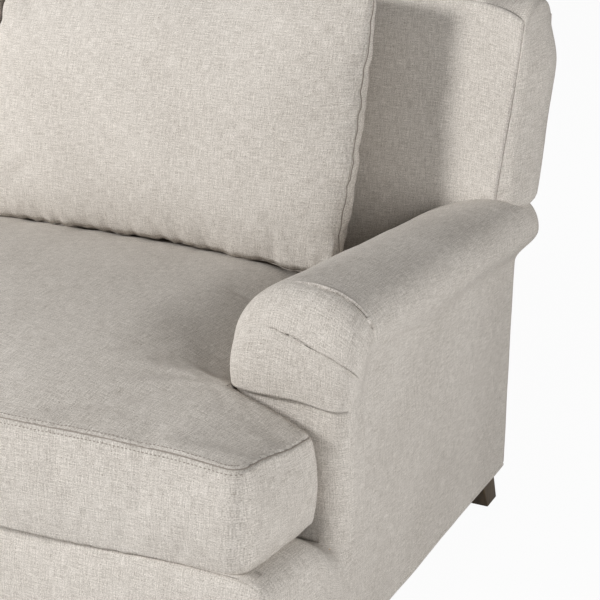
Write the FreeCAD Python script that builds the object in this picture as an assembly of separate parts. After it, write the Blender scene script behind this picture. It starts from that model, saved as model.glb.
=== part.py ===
"""Rolled arm loveseat: a bench seat and two loose back cushions on an upholstered hardwood frame.

Millimetres, +Z up, the front faces -Y, left and right are as seen from the front.
The pieces are laid out with y = 0 on the front face of the base, then moved so that the
origin lies on the floor under the middle of the whole piece.
"""
import FreeCAD
import Part
import math
import os

# Overall sizes
BASE_W = 1800.0          # between the outside faces of the two arms
BASE_D = 840.0           # front face of the base to the outside back
LEG_H = 78.0             # floor to the underside of the seat frame
ARM_W = 155.0            # outside face of an arm to its inside face
ARM_H = 474.0            # underside of the seat frame to the crest of the arm roll
BACK_H = 733.0           # underside of the seat frame to the top seam of the back
RAKE = 13.0              # lean of the back in degrees

# Clearances
CLEAR = 0.3              # between soft forms that lie against each other
CAVITY = 0.3             # round a core inside its cover
HOLE_CLEAR = 0.4         # added to the diameter of a bolt's hole

# Seat frame
RAIL_T = 26.0
RAIL_H = 150.0
BORDER_T = 30.0          # padded border in front of the front rail
BORDER_BELLY = 12.0      # how far the border swells forward
BORDER_ROUND = 14.0
PANEL_T = 18.0           # padded panel on the outside of an arm
PANEL_DROP = 2.0         # the outside covers turn under the frame by this much
WEB_T = 3.0
WEB_W = 50.0
SEAT_STRAPS = 10
CROSS_STRAPS = 3
DECK_PAD_T = 46.0
DECK_CLOTH_T = 1.7
DUST_T = 1.2
DUST_INSET = 4.0
BLOCK = 80.0             # legs of a triangular corner block
BLOCK_H = 45.0

# Legs
LEG_TOP = 58.0
LEG_FOOT = 44.0
LEG_INSET = 17.0         # outside face of an arm to the leg
LEG_SETBACK = 20.0       # front of the base to a front leg
LEG_KICK = 34.0          # how far a rear foot stands behind its top
GLIDE_D = 24.0
GLIDE_H = 5.0
GLIDE_ROUND = 1.6
PLATE = 50.0
PLATE_T = 3.0
LEG_BOLT_D = 8.0
BOLT_IN_LEG = 30.0
BOLT_IN_FRAME = 38.0
BOLT_EDGE = 15.0         # bolt's centre from the inner face of the side rail

# Arms
POST_W = 44.0
POST_D = 30.0
ARM_RAIL_W = 80.0
ARM_RAIL_T = 30.0
ARM_RAIL_DROP = 96.0     # crest of the roll down to the top of its rail
ARM_PAD_T = 30.0         # padding on the inside of an arm
ARM_FRONT_Y = 200.0      # front of the base to the flat front of an arm
ARM_FRONT_T = 16.0
ROLL_IN = 21.0           # how far the roll hangs over the seat
ROLL_OUT = 12.0          # how far the roll hangs out past the arm behind its nose
ROLL_FLARE = 16.0        # how far it swings out from there to the rear
ROLL_SHIFT = 40.0        # how far its crest has moved out from the middle at the rear
ROLL_SINK = 24.0         # how far its widest level on the inside has sunk at the rear
ROLL_SHOULDER = 0.7      # shoulder radius as a share of the height over the widest level
ROLL_EASE = 0.3          # share of that radius that the inside loses at the rear
ROLL_WAIST = 56.0        # crest of the roll down to its widest level
ROLL_NOTCH = 111.0       # crest down to the crease under the roll
NOSE_LIP = 8.0           # how far the nose stands in front of the arm's flat front
NOSE_DROP = 131.0        # crest down to the crease under the nose
NOSE_L = 108.0           # length of the rounded nose
NOSE_FACE = 84.0         # crest down to the top of the nose's blunt front
NOSE_NARROW = 0.7        # share of the overhangs that is lost at the nose
NOSE_STATIONS = (0.0, 0.04, 0.15, 0.35, 0.65, 1.0)
PLEAT_W = 3.0
PLEAT_DEPTH = 2.5
NECK_PLEAT_Y = 68.0      # front of the nose to the pleat round its neck
NECK_PLEAT_DROP = 66.0   # crest down to the end of that pleat
FACE_PLEAT_DROP = 52.0   # crest down to the pleat across the blunt front
FACE_PLEAT_CANT = 11.0   # its fall to the outside in degrees
FACE_PLEAT_LEAN = 46.0   # its fall to the rear in degrees
ARM_BOLT_D = 8.0
ARM_BOLT_HEAD = 14.0
ARM_BOLT_HEAD_H = 5.0
ARM_BOLT_RISE = (40.0, 110.0)

# Back
BACK_T = 138.0           # face of the back at the seat deck to the outside back
INSIDE_T = 48.0
INSIDE_DROP = 40.0       # the inside back goes on below the deck by this much
BACK_SIDE_T = 24.0
BACK_SIDE_SWELL = 20.0
SWELL_STEPS = ((0.0, 1.0), (0.6, 0.95), (1.0, 0.85))
OUTSIDE_T = 12.0
FLARE_Y = 122.0          # how far the outside back swings out behind the base
FLARE_TOP_Y = 118.0      # the same at the top seam
FLARE_MID_Y = 100.0      # the same where its two sweeps meet
FLARE_MID_Z = 200.0      # height of that place over the crease under the arm roll
FLARE_BOW = 0.45         # share of that swing at half of that height
BACK_CROWN = 43.0        # top seam to the top of the back
BACK_RAIL_H = 60.0
BACK_RAIL_D = 36.0
BACK_RAIL_RISE = 222.0   # underside of the seat frame to the lower rail
TOP_RAIL_H = 40.0
TOP_RAIL_D = 60.0
BACK_STRAPS = 4
BACK_WEB_T = 2.5

# Seat cushion
SEAT_GAP = 4.0           # beside the arms and behind the cushion
SEAT_NOSE = 12.0         # front of the cushion ahead of the base
EAR_INSET = 36.0         # side of an ear in from the outside of the arm
EAR_GAP = 4.0            # ear to the nose of the arm
BOXING = 142.0
CROWN = 50.0
CROWN_AT = 0.56          # place of the highest line between the front and the rear
REAR_CROWN = 0.35        # share of the crown that is left at the rear
CROWN_STATIONS = (-1.01, -0.85, -0.5, 0.0, 0.5, 0.85, 1.01)
EAR_DROP = 14.0          # how far the seam falls at the end of an ear
SEAT_SWELL = 9.0         # how far the boxing swells between its seams
SEAT_LEVELS = ((0.0, 1.0), (0.3, 0.0), (0.7, 0.0), (1.7, 2.0))  # shares of the boxing and of its swell
EAR_R = 30.0
NECK_R = 12.0
REAR_R = 26.0
CORE_INSET = 24.0
CORE_TOP = 24.0
CORE_BOTTOM = 14.0

# Back cushions
CUSHION_SIDE = 206.0     # outside of the arm to the side of a back cushion
CUSHION_H = 414.0
CUSHION_SPLIT = 6.0      # between the two cushions
CUSHION_FRONT = 66.0     # swell of the front in front of the seam
CUSHION_REAR = 102.0     # swell of the rear behind the seam
CUSHION_SLOUCH = 46.0    # how far the bottom seam has slid forward on the seat
CUSHION_DRAW = 9.0       # how far the sides draw in between the corners
CUSHION_EDGE = 0.26      # fullness left at the top and bottom seams
CUSHION_LEVELS = (0.0, 0.1, 0.3, 0.55, 0.8, 0.94, 1.0)
FILL_INSET = 26.0

# Places worked out from the sizes above
ROUND_OFF = 1 - math.sqrt(0.5)   # corner to the middle of a quarter arc, as a share of its radius
REACH = 2 * BASE_D               # length of a cutting box that goes right through
HALF_W = BASE_W / 2
ARM_IN = HALF_W - ARM_W
RAIL_OUT = HALF_W - PANEL_T
RAIL_IN = RAIL_OUT - RAIL_T
RAIL_TOP = LEG_H + RAIL_H
WEB_TOP = RAIL_TOP + WEB_T
DECK_PAD_Z = WEB_TOP + WEB_T
DECK_CLOTH_Z = DECK_PAD_Z + DECK_PAD_T
DECK_Z = DECK_CLOTH_Z + DECK_CLOTH_T
COVER_Z = LEG_H - PANEL_DROP
BACK_Y = BASE_D - OUTSIDE_T
FACE_Y = BASE_D - BACK_T
FRONT_RAIL_Y = BORDER_T + RAIL_T
CREST_Z = LEG_H + ARM_H
NOTCH_Z = CREST_Z - ROLL_NOTCH
WAIST_Z = CREST_Z - ROLL_WAIST
NOSE_Z = CREST_Z - NOSE_DROP
ARM_RAIL_Z = CREST_Z - ARM_RAIL_DROP
ARM_RAIL_LOW = ARM_RAIL_Z - ARM_RAIL_T
ARM_POST_Y = ARM_FRONT_Y + ARM_FRONT_T
NOSE_Y = ARM_FRONT_Y - NOSE_LIP
POST_IN = RAIL_IN - POST_W
BACK_TOP_Z = LEG_H + BACK_H
TOP_RAIL_Z = BACK_TOP_Z - TOP_RAIL_H
BACK_RAIL_Z = LEG_H + BACK_RAIL_RISE
BACK_RAIL_TOP = BACK_RAIL_Z + BACK_RAIL_H
SLOPE = math.tan(math.radians(RAKE))
INSIDE_Z = DECK_Z - INSIDE_DROP
BACK_SIDE_IN = HALF_W - BACK_SIDE_T
SEAT_Z = DECK_Z + CLEAR
SEAM_Z = SEAT_Z + BOXING
PIECES = {}


def vec(x, y, z):
    return FreeCAD.Vector(x, y, z)


def in_yz(x):
    return lambda p: vec(x, p[0], p[1])


def in_xz(y):
    return lambda p: vec(p[0], y, p[1])


def in_xy(z):
    return lambda p: vec(p[0], p[1], z)


def box(x0, x1, y0, y1, z0, z1):
    return Part.makeBox(x1 - x0, y1 - y0, z1 - z0, vec(x0, y0, z0))


def rod(start, axis, diameter, length):
    return Part.makeCylinder(diameter / 2, length, start, axis)


def closed_wire(place, start, steps):
    """A step is a point, reached by a line, or a pair of points: one on an arc and its end."""
    edges = []
    here = start
    for step in list(steps) + [start]:
        if isinstance(step[0], tuple):
            via, end = step
            edges.append(Part.Arc(place(here), place(via), place(end)).toShape())
            here = end
        elif step != here:
            edges.append(Part.LineSegment(place(here), place(step)).toShape())
            here = step
    return Part.Wire(edges)


def prism(wire, reach):
    return Part.Face(wire).extrude(reach)


def loft(wires, ruled=False):
    return Part.makeLoft(wires, True, ruled)


def rounded(corners):
    """Outline steps round corners given as (x, y, radius), with a quarter arc at each."""
    points = []
    count = len(corners)
    for i, (x, y, radius) in enumerate(corners):
        before = corners[i - 1]
        after = corners[(i + 1) % count]
        into = (math.copysign(1, x - before[0]) if x != before[0] else 0.0,
                math.copysign(1, y - before[1]) if y != before[1] else 0.0)
        out = (math.copysign(1, after[0] - x) if x != after[0] else 0.0,
               math.copysign(1, after[1] - y) if y != after[1] else 0.0)
        start = (x - into[0] * radius, y - into[1] * radius)
        end = (x + out[0] * radius, y + out[1] * radius)
        cut = radius * ROUND_OFF
        via = (x + cut * (out[0] - into[0]), y + cut * (out[1] - into[1]))
        points.append(start)
        points.append((via, end))
    return points[0], points[1:]


def mirrored(shape):
    return shape.mirror(vec(0, 0, 0), vec(1, 0, 0))


def add(name, shape):
    PIECES[name] = shape


def add_pair(name, right_shape):
    add("right_" + name, right_shape)
    add("left_" + name, mirrored(right_shape))


def both_sides(shapes):
    return Part.makeCompound(shapes + [mirrored(s) for s in shapes])


def face_y(z):
    """The face of the raked back at a height."""
    return FACE_Y + (z - DECK_Z) * SLOPE


def post_front(z):
    return face_y(z) + INSIDE_T + BACK_WEB_T + CLEAR


# Legs

FRONT_BOLT = (RAIL_IN - BOLT_EDGE, FRONT_RAIL_Y + BOLT_EDGE)
REAR_BOLT = (RAIL_IN - POST_W / 2, (post_front(INSIDE_Z) + BACK_Y) / 2)
FRONT_LEG_Y = LEG_SETBACK + LEG_TOP / 2
REAR_LEG_Y = BACK_Y - LEG_TOP / 2
LEG_X = HALF_W - LEG_INSET - LEG_TOP / 2
LEG_TOP_Z = LEG_H - PLATE_T
AXIS_X = vec(1, 0, 0)
AXIS_Y = vec(0, 1, 0)
AXIS_Z = vec(0, 0, 1)


def square(x, y, z, side):
    half = side / 2
    others = [(x + half, y - half), (x + half, y + half), (x - half, y + half)]
    return closed_wire(in_xy(z), (x - half, y - half), others)


def leg(top_y, foot_y, bolt):
    foot = square(LEG_X, foot_y, GLIDE_H, LEG_FOOT)
    top = square(LEG_X, top_y, LEG_TOP_Z, LEG_TOP)
    hole_start = vec(bolt[0], bolt[1], LEG_TOP_Z - BOLT_IN_LEG)
    hole = rod(hole_start, AXIS_Z, LEG_BOLT_D + HOLE_CLEAR, BOLT_IN_LEG)
    return loft([foot, top], ruled=True).cut(hole)


def leg_glide(y):
    glide = rod(vec(LEG_X, y, 0), AXIS_Z, GLIDE_D, GLIDE_H)
    return glide.makeFillet(GLIDE_ROUND, [glide.Edges[2]])


def leg_plate(bolt):
    half = PLATE / 2
    plate = box(bolt[0] - half, bolt[0] + half, bolt[1] - half, bolt[1] + half, LEG_TOP_Z, LEG_H)
    return plate.cut(rod(vec(bolt[0], bolt[1], LEG_TOP_Z), AXIS_Z, LEG_BOLT_D + HOLE_CLEAR, PLATE_T))


def leg_bolt(bolt):
    return rod(vec(bolt[0], bolt[1], LEG_TOP_Z - BOLT_IN_LEG), AXIS_Z, LEG_BOLT_D,
               BOLT_IN_LEG + PLATE_T + BOLT_IN_FRAME)


def frame_bolt_hole(bolt):
    return rod(vec(bolt[0], bolt[1], LEG_H), AXIS_Z, LEG_BOLT_D + HOLE_CLEAR, BOLT_IN_FRAME + CLEAR)


add_pair("front_leg", leg(FRONT_LEG_Y, FRONT_LEG_Y, FRONT_BOLT))
add_pair("rear_leg", leg(REAR_LEG_Y, REAR_LEG_Y + LEG_KICK, REAR_BOLT))
add("leg_glides", both_sides([leg_glide(FRONT_LEG_Y), leg_glide(REAR_LEG_Y + LEG_KICK)]))
add("leg_plates", both_sides([leg_plate(FRONT_BOLT), leg_plate(REAR_BOLT)]))
add("leg_bolts", both_sides([leg_bolt(FRONT_BOLT), leg_bolt(REAR_BOLT)]))


# Seat frame

ARM_BOLT_Y = ARM_POST_Y + POST_D / 2


def arm_bolt_places():
    return [vec(POST_IN, ARM_BOLT_Y, LEG_H + rise) for rise in ARM_BOLT_RISE]


def arm_bolt(place):
    shank = rod(place, AXIS_X, ARM_BOLT_D, POST_W + RAIL_T)
    head = rod(place - AXIS_X * ARM_BOLT_HEAD_H, AXIS_X, ARM_BOLT_HEAD, ARM_BOLT_HEAD_H)
    return shank.fuse(head)


def arm_bolt_hole(place):
    return rod(place, AXIS_X, ARM_BOLT_D + HOLE_CLEAR, POST_W + RAIL_T)


def without(shape, cuts):
    for cut in cuts:
        shape = shape.cut(cut)
    return shape


def corner_block():
    wire = closed_wire(in_xy(LEG_H), (RAIL_IN, FRONT_RAIL_Y),
                       [(RAIL_IN, FRONT_RAIL_Y + BLOCK), (RAIL_IN - BLOCK, FRONT_RAIL_Y)])
    return prism(wire, AXIS_Z * BLOCK_H).cut(frame_bolt_hole(FRONT_BOLT))


def rear_block():
    front = post_front(INSIDE_Z)
    wire = closed_wire(in_xy(LEG_H), (RAIL_IN, front),
                       [(RAIL_IN, front - BLOCK), (POST_IN, front)])
    return prism(wire, AXIS_Z * BLOCK_H)


def straps():
    span = 2 * (ARM_IN - WEB_W)
    step = span / (SEAT_STRAPS - 1)
    rows = []
    for i in range(SEAT_STRAPS):
        middle = -span / 2 + i * step
        rows.append(box(middle - WEB_W / 2, middle + WEB_W / 2,
                        BORDER_T, BACK_Y, RAIL_TOP, WEB_TOP))
    return Part.makeCompound(rows)


def cross_straps():
    first = ARM_POST_Y + POST_D + WEB_W
    step = (face_y(INSIDE_Z) - 2 * WEB_W - first) / (CROSS_STRAPS - 1)
    rows = []
    for i in range(CROSS_STRAPS):
        middle = first + i * step
        rows.append(box(-RAIL_OUT, RAIL_OUT,
                        middle - WEB_W / 2, middle + WEB_W / 2, WEB_TOP, DECK_PAD_Z))
    return Part.makeCompound(rows)


def dust_cover():
    side = RAIL_OUT - DUST_INSET
    low_z = LEG_H - DUST_T
    sheet = box(-side, side, BORDER_T + DUST_INSET, BACK_Y - DUST_INSET, low_z, LEG_H)
    half = PLATE / 2 + DUST_T
    cuts = []
    for x, y in (FRONT_BOLT, REAR_BOLT):
        for middle in (x, -x):
            cuts.append(box(middle - half, middle + half, y - half, y + half, low_z, LEG_H))
    return without(sheet, cuts)


SIDE_RAIL = box(RAIL_IN, RAIL_OUT, BORDER_T, BACK_Y, LEG_H, RAIL_TOP)
DECK_REAR = face_y(INSIDE_Z) - CLEAR
DECK_SIDE = ARM_IN - CLEAR
add("front_rail", box(-RAIL_IN, RAIL_IN, BORDER_T, FRONT_RAIL_Y, LEG_H, RAIL_TOP))
add("rear_rail", box(-POST_IN, POST_IN, BACK_Y - RAIL_T, BACK_Y, LEG_H, RAIL_TOP))
add("centre_rail", box(-RAIL_T / 2, RAIL_T / 2, FRONT_RAIL_Y, BACK_Y - RAIL_T, LEG_H, RAIL_TOP))
add_pair("side_rail", without(SIDE_RAIL, [arm_bolt_hole(p) for p in arm_bolt_places()]))
add("corner_blocks", both_sides([corner_block(), rear_block()]))
add("seat_webbing", straps())
add("cross_webbing", cross_straps())
add("deck_pad", box(-DECK_SIDE, DECK_SIDE, BORDER_T + CLEAR, DECK_REAR, DECK_PAD_Z, DECK_CLOTH_Z))
add("deck_cloth", box(-DECK_SIDE, DECK_SIDE, BORDER_T + CLEAR, DECK_REAR, DECK_CLOTH_Z, DECK_Z))
add("dust_cover", dust_cover())


# Padded base: the border along the front and a ledge under each ear of the seat cushion

def front_border():
    round_y = BORDER_ROUND * ROUND_OFF
    middle_z = (COVER_Z + DECK_Z) / 2
    wire = closed_wire(in_yz(-HALF_W), (BORDER_T, COVER_Z),
                       [(0.0, COVER_Z),
                        ((-BORDER_BELLY, middle_z), (0.0, DECK_Z - BORDER_ROUND)),
                        ((round_y, DECK_Z - round_y), (BORDER_ROUND, DECK_Z)),
                        (BORDER_T, DECK_Z)])
    return prism(wire, AXIS_X * BASE_W)


def ledge():
    cut = BORDER_ROUND * ROUND_OFF
    wire = closed_wire(in_xz(BORDER_T), (HALF_W, COVER_Z),
                       [(HALF_W, DECK_Z - BORDER_ROUND),
                        ((HALF_W - cut, DECK_Z - cut), (HALF_W - BORDER_ROUND, DECK_Z)),
                        (ARM_IN, DECK_Z),
                        (ARM_IN, RAIL_TOP + WEB_T),
                        (RAIL_OUT, RAIL_TOP + WEB_T),
                        (RAIL_OUT, COVER_Z)])
    return prism(wire, vec(0, ARM_POST_Y - BORDER_T, 0))


add("front_border", front_border())
add_pair("ledge", ledge())


# Rolled arms

def arc_step(centre, radius, from_angle, to_angle):
    """An arc step about a centre, between two angles in degrees."""
    def at(angle):
        turn = math.radians(angle)
        return (centre[0] + radius * math.cos(turn), centre[1] + radius * math.sin(turn))
    return at((from_angle + to_angle) / 2), at(to_angle)


def shoulder(width, height, share):
    """Radii of one side of the roll, of its shoulder and its top, and the angle at which they meet."""
    side_r = height * share
    top_r = ((width - side_r) ** 2 + height ** 2 - side_r ** 2) / (2 * (height - side_r))
    return side_r, top_r, math.degrees(math.atan2(top_r - height, width - side_r))


def under_roll(hang, height):
    """Radius of the curve under an overhang, and the angle that it turns through."""
    radius = (hang ** 2 + height ** 2) / (2 * hang)
    return radius, math.degrees(math.asin(height / radius))


def arm_section(y, drop, narrow, rearward, grow):
    """Cross-section of an arm: a straight inside, an oval roll, and the crease under the roll."""
    hang_in = ROLL_IN * (1 - narrow) + grow
    hang_out = ROLL_OUT * (1 - narrow) + ROLL_FLARE * rearward + grow
    inner = ARM_IN - hang_in
    outer = HALF_W + hang_out
    middle = (inner + outer) / 2 + ROLL_SHIFT * rearward
    crest = CREST_Z - drop + grow
    low = NOTCH_Z - grow
    waist_out = min(WAIST_Z, (crest + low) / 2)
    waist_in = waist_out - ROLL_SINK * rearward
    ease = ROLL_SHOULDER * (1 - ROLL_EASE * rearward)
    in_r, in_top, in_lean = shoulder(middle - inner, crest - waist_in, ease)
    out_r, out_top, out_lean = shoulder(outer - middle, crest - waist_out, ROLL_SHOULDER)
    under_in, dip_in = under_roll(hang_in, waist_in - low)
    under_out, dip_out = under_roll(hang_out, waist_out - low)
    side = HALF_W - PANEL_T + grow
    floor_z = DECK_PAD_Z - grow
    return closed_wire(in_xz(y), (ARM_IN - grow, floor_z),
                       [(ARM_IN, low),
                        arc_step((inner + under_in, waist_in), under_in, 180 + dip_in, 180),
                        arc_step((inner + in_r, waist_in), in_r, 180, 180 - in_lean),
                        arc_step((middle, crest - in_top), in_top, 180 - in_lean, 90),
                        arc_step((middle, crest - out_top), out_top, 90, out_lean),
                        arc_step((outer - out_r, waist_out), out_r, out_lean, 0),
                        arc_step((outer - under_out, waist_out), under_out, 0, -dip_out),
                        (side, low),
                        (side, floor_z)])


def arm_form(grow=0.0):
    """The roll from its blunt, rounded nose to the back, towards which it swings out."""
    nose_end = NOSE_Y + NOSE_L
    nose = []
    for share in NOSE_STATIONS:
        y = NOSE_Y + NOSE_L * share - grow * (1 - share)
        round_off = 1 - math.sqrt(1 - (1 - share) ** 2)
        nose.append(arm_section(y, NOSE_FACE * round_off, NOSE_NARROW * round_off, 0.0, grow))
    run = [arm_section(nose_end, 0.0, 0.0, 0.0, grow),
           arm_section(BACK_Y + grow, 0.0, 0.0, 1.0, grow)]
    return loft(nose).fuse(loft(run, ruled=True)).removeSplitter()


def behind_inside_back():
    """The space behind the inside back, which the posts, rails and webbing of the back take up."""
    rear = face_y(REACH) + REACH
    wire = closed_wire(in_yz(0.0), (face_y(0.0) + INSIDE_T, 0.0),
                       [(face_y(REACH) + INSIDE_T, REACH), (rear, REACH), (rear, 0.0)])
    return prism(wire, AXIS_X * (RAIL_IN + CLEAR))


def neck_pleat():
    """A fold of the cover that runs over the top of the nose, behind its blunt front."""
    y = NOSE_Y + NECK_PLEAT_Y
    low_z = CREST_Z - NECK_PLEAT_DROP
    return box(0, REACH, y - PLEAT_W / 2, y + PLEAT_W / 2, low_z, CREST_Z + PLEAT_W)


def face_pleat():
    """A fold that crosses the blunt front and falls away along the outside of the nose."""
    middle = vec(HALF_W - ARM_W / 2, NOSE_Y, CREST_Z - FACE_PLEAT_DROP)
    slab = box(middle.x - ARM_W, middle.x + ARM_W, middle.y - NOSE_L / 2, middle.y + NOSE_L / 2,
               middle.z - PLEAT_W / 2, middle.z + PLEAT_W / 2)
    slab.rotate(middle, AXIS_X, -FACE_PLEAT_LEAN)
    slab.rotate(middle, AXIS_Y, FACE_PLEAT_CANT)
    return slab


def arm_cover():
    pocket = box(ARM_IN + ARM_PAD_T, RAIL_OUT, ARM_POST_Y, BASE_D, 0, ARM_RAIL_Z)
    under_nose = box(0, REACH, 0, ARM_POST_Y, 0, NOSE_Z)
    pleat_floor = arm_form(-PLEAT_DEPTH)
    pleats = [neck_pleat().cut(pleat_floor), face_pleat().cut(pleat_floor)]
    return without(arm_form(), [pocket, under_nose, behind_inside_back()] + pleats)


def arm_front():
    return box(ARM_IN, HALF_W, ARM_FRONT_Y, ARM_POST_Y - CLEAR, DECK_Z + CLEAR, NOSE_Z - CLEAR)


def arm_post():
    post = box(POST_IN, RAIL_IN, ARM_POST_Y, ARM_POST_Y + POST_D, LEG_H, ARM_RAIL_LOW)
    return without(post, [arm_bolt_hole(p) for p in arm_bolt_places()])


def arm_rail():
    middle = (ARM_IN + ARM_PAD_T + RAIL_OUT) / 2
    return box(middle - ARM_RAIL_W / 2, middle + ARM_RAIL_W / 2,
               ARM_POST_Y, post_front(ARM_RAIL_LOW) - CLEAR, ARM_RAIL_LOW, ARM_RAIL_Z)


add_pair("arm_cover", arm_cover())
add_pair("arm_front", arm_front())
add_pair("outside_arm", box(RAIL_OUT, HALF_W, ARM_POST_Y, BACK_Y, COVER_Z, NOTCH_Z - CLEAR))
add_pair("arm_post", arm_post())
add_pair("arm_rail", arm_rail())
add("arm_bolts", both_sides([arm_bolt(p) for p in arm_bolt_places()]))


# Back

def back_post(x0, x1, foot_z):
    """A sawn post: upright behind the arm, then following the swept outside back."""
    top_y = post_front(TOP_RAIL_Z)
    bend_z = max(foot_z, INSIDE_Z)
    steps = [(BACK_Y, foot_z), (BACK_Y, NOTCH_Z), (top_y + BACK_RAIL_D, TOP_RAIL_Z), (top_y, TOP_RAIL_Z)]
    if bend_z > foot_z:
        steps.append((post_front(bend_z), bend_z))
    return prism(closed_wire(in_yz(x0), (post_front(bend_z), foot_z), steps), AXIS_X * (x1 - x0))


def outside_curve(shift):
    """The swept outside back, from the crease under the arm to the top seam: two arcs."""
    start = (BASE_D - shift, NOTCH_Z)
    join = (BASE_D + FLARE_MID_Y - shift, NOTCH_Z + FLARE_MID_Z)
    top = (BASE_D + FLARE_TOP_Y - shift, BACK_TOP_Z)
    low_via = (BASE_D + FLARE_MID_Y * FLARE_BOW - shift, NOTCH_Z + FLARE_MID_Z / 2)
    high_via = (BASE_D + FLARE_Y - shift, (join[1] + top[1]) / 2)
    return start, low_via, join, high_via, top


def outside_back():
    start, low_via, join, high_via, top = outside_curve(0.0)
    inner_start, inner_low, inner_join, inner_high, inner_top = outside_curve(OUTSIDE_T)
    wire = closed_wire(in_yz(-HALF_W), (start[0], COVER_Z),
                       [start, (low_via, join), (high_via, top), inner_top,
                        (inner_high, inner_join), (inner_low, inner_start), (inner_start[0], COVER_Z)])
    return prism(wire, AXIS_X * BASE_W)


def top_arc(z):
    """The rounded top of the back, from its front seam to the outside back."""
    front = (face_y(BACK_TOP_Z), z)
    rear = (BASE_D + FLARE_TOP_Y, z)
    via = ((front[0] + rear[0]) / 2, z + BACK_CROWN)
    return front, via, rear


def arm_clearances():
    form = arm_form(CLEAR)
    return [form, mirrored(form)]


def inside_back():
    top_z = BACK_TOP_Z
    width = BACK_SIDE_IN - CLEAR
    wire = closed_wire(in_yz(-width), (face_y(INSIDE_Z), INSIDE_Z),
                       [(face_y(top_z), top_z), (face_y(top_z) + INSIDE_T, top_z),
                        (face_y(INSIDE_Z) + INSIDE_T, INSIDE_Z)])
    return without(prism(wire, AXIS_X * (2 * width)), arm_clearances())


def back_top_cover():
    front, via, rear = top_arc(BACK_TOP_Z + CLEAR)
    width = BACK_SIDE_IN - CLEAR
    return prism(closed_wire(in_yz(-width), front, [(via, rear)]), AXIS_X * (2 * width))


def back_side_outline(x, size):
    """Side of the back at a place across, with every point drawn towards the middle by its size."""
    front, via, rear = top_arc(BACK_TOP_Z + CLEAR)
    start, low_via, join, high_via, top = outside_curve(OUTSIDE_T + CLEAR)
    low_front = (face_y(start[1]), start[1])
    middle = ((front[0] + rear[0]) / 2, (front[1] + start[1]) / 2)

    def drawn(p):
        return (middle[0] + (p[0] - middle[0]) * size, middle[1] + (p[1] - middle[1]) * size)

    return closed_wire(in_yz(x), drawn(low_front),
                       [drawn(front), (drawn(via), drawn(rear)), drawn(top), (drawn(high_via), drawn(join)),
                        (drawn(low_via), drawn(start))])


def back_side():
    flat = loft([back_side_outline(x, 1.0) for x in (BACK_SIDE_IN, HALF_W)], ruled=True)
    swell = loft([back_side_outline(HALF_W + BACK_SIDE_SWELL * rise, size) for rise, size in SWELL_STEPS])
    above_roll = box(BACK_SIDE_IN, REACH, 0, REACH, WAIST_Z + CLEAR, REACH)
    return flat.fuse(swell).common(above_roll).cut(arm_form(CLEAR))


def back_straps():
    low = DECK_Z + WEB_W
    step = (TOP_RAIL_Z - WEB_W - low) / (BACK_STRAPS - 1)
    rows = []
    for i in range(BACK_STRAPS):
        z = low + i * step
        rear = face_y(z) + INSIDE_T
        strap = box(-POST_IN, POST_IN, rear, rear + BACK_WEB_T, z - WEB_W / 2, z + WEB_W / 2)
        strap.rotate(vec(0, rear, z), AXIS_X, -RAKE)
        rows.append(strap)
    return Part.makeCompound(rows)


def back_top_rail():
    front = post_front(BACK_TOP_Z)
    return box(-BACK_SIDE_IN, BACK_SIDE_IN, front, front + TOP_RAIL_D, TOP_RAIL_Z, BACK_TOP_Z)


add_pair("back_post", back_post(POST_IN, RAIL_IN, LEG_H).cut(frame_bolt_hole(REAR_BOLT)))
add("back_lower_rail", box(-POST_IN, POST_IN, BACK_Y - BACK_RAIL_D, BACK_Y, BACK_RAIL_Z, BACK_RAIL_TOP))
add("centre_back_post", back_post(-POST_W / 2, POST_W / 2, BACK_RAIL_TOP))
add("back_top_rail", back_top_rail())
add("back_webbing", back_straps())
add("inside_back", inside_back())
add("back_top_cover", back_top_cover())
add_pair("back_side", back_side())
add("outside_back", outside_back())


# Seat cushion: one bench cushion with an ear in front of each arm

SEAT_FRONT = -SEAT_NOSE
SEAT_REAR = face_y(SEAT_Z) - SEAT_GAP
SEAT_SIDE = ARM_IN - SEAT_GAP
EAR_SIDE = HALF_W - EAR_INSET
EAR_REAR = NOSE_Y - EAR_GAP


def seat_outline(z, inset):
    right = [(EAR_SIDE - inset, SEAT_FRONT + inset, EAR_R),
             (EAR_SIDE - inset, EAR_REAR - inset, NECK_R),
             (SEAT_SIDE - inset, EAR_REAR - inset, NECK_R),
             (SEAT_SIDE - inset, SEAT_REAR - inset, REAR_R)]
    left = [(-x, y, radius) for x, y, radius in reversed(right)]
    start, steps = rounded(right + left)
    return closed_wire(in_xy(z), start, steps)


def crown_arc(share):
    """Top of the seat from front to rear, at a share of the way from the middle to an ear's end."""
    edge_z = SEAM_Z - EAR_DROP * share ** 4
    swell = CROWN * (1 - share ** 2)
    front = (SEAT_FRONT, edge_z)
    crest = (SEAT_FRONT + (SEAT_REAR - SEAT_FRONT) * CROWN_AT, edge_z + swell)
    rear = (SEAT_REAR, edge_z + swell * REAR_CROWN)
    return front, crest, rear


def seat_top(y):
    """Height of the seat at its middle, where it is highest."""
    front, crest, rear = crown_arc(0.0)
    place = in_yz(0.0)
    circle = Part.Arc(place(front), place(crest), place(rear)).toShape().Curve
    return circle.Center.z + math.sqrt(circle.Radius ** 2 - (y - circle.Center.y) ** 2)


def seat_crown():
    """A block whose top swells most at the middle of the seat and falls at the ears."""
    floor_z = SEAT_Z - SEAT_GAP
    wires = []
    for share in CROWN_STATIONS:
        front, crest, rear = crown_arc(share)
        low_front = (front[0] - SEAT_GAP, floor_z)
        low_rear = (rear[0] + SEAT_GAP, floor_z)
        wires.append(closed_wire(in_yz(EAR_SIDE * share), front,
                                 [(crest, rear), (low_rear[0], rear[1]), low_rear, low_front,
                                  (low_front[0], front[1])]))
    return loft(wires)


def seat_walls():
    return loft([seat_outline(SEAT_Z + BOXING * rise, SEAT_SWELL * inset) for rise, inset in SEAT_LEVELS])


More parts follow.
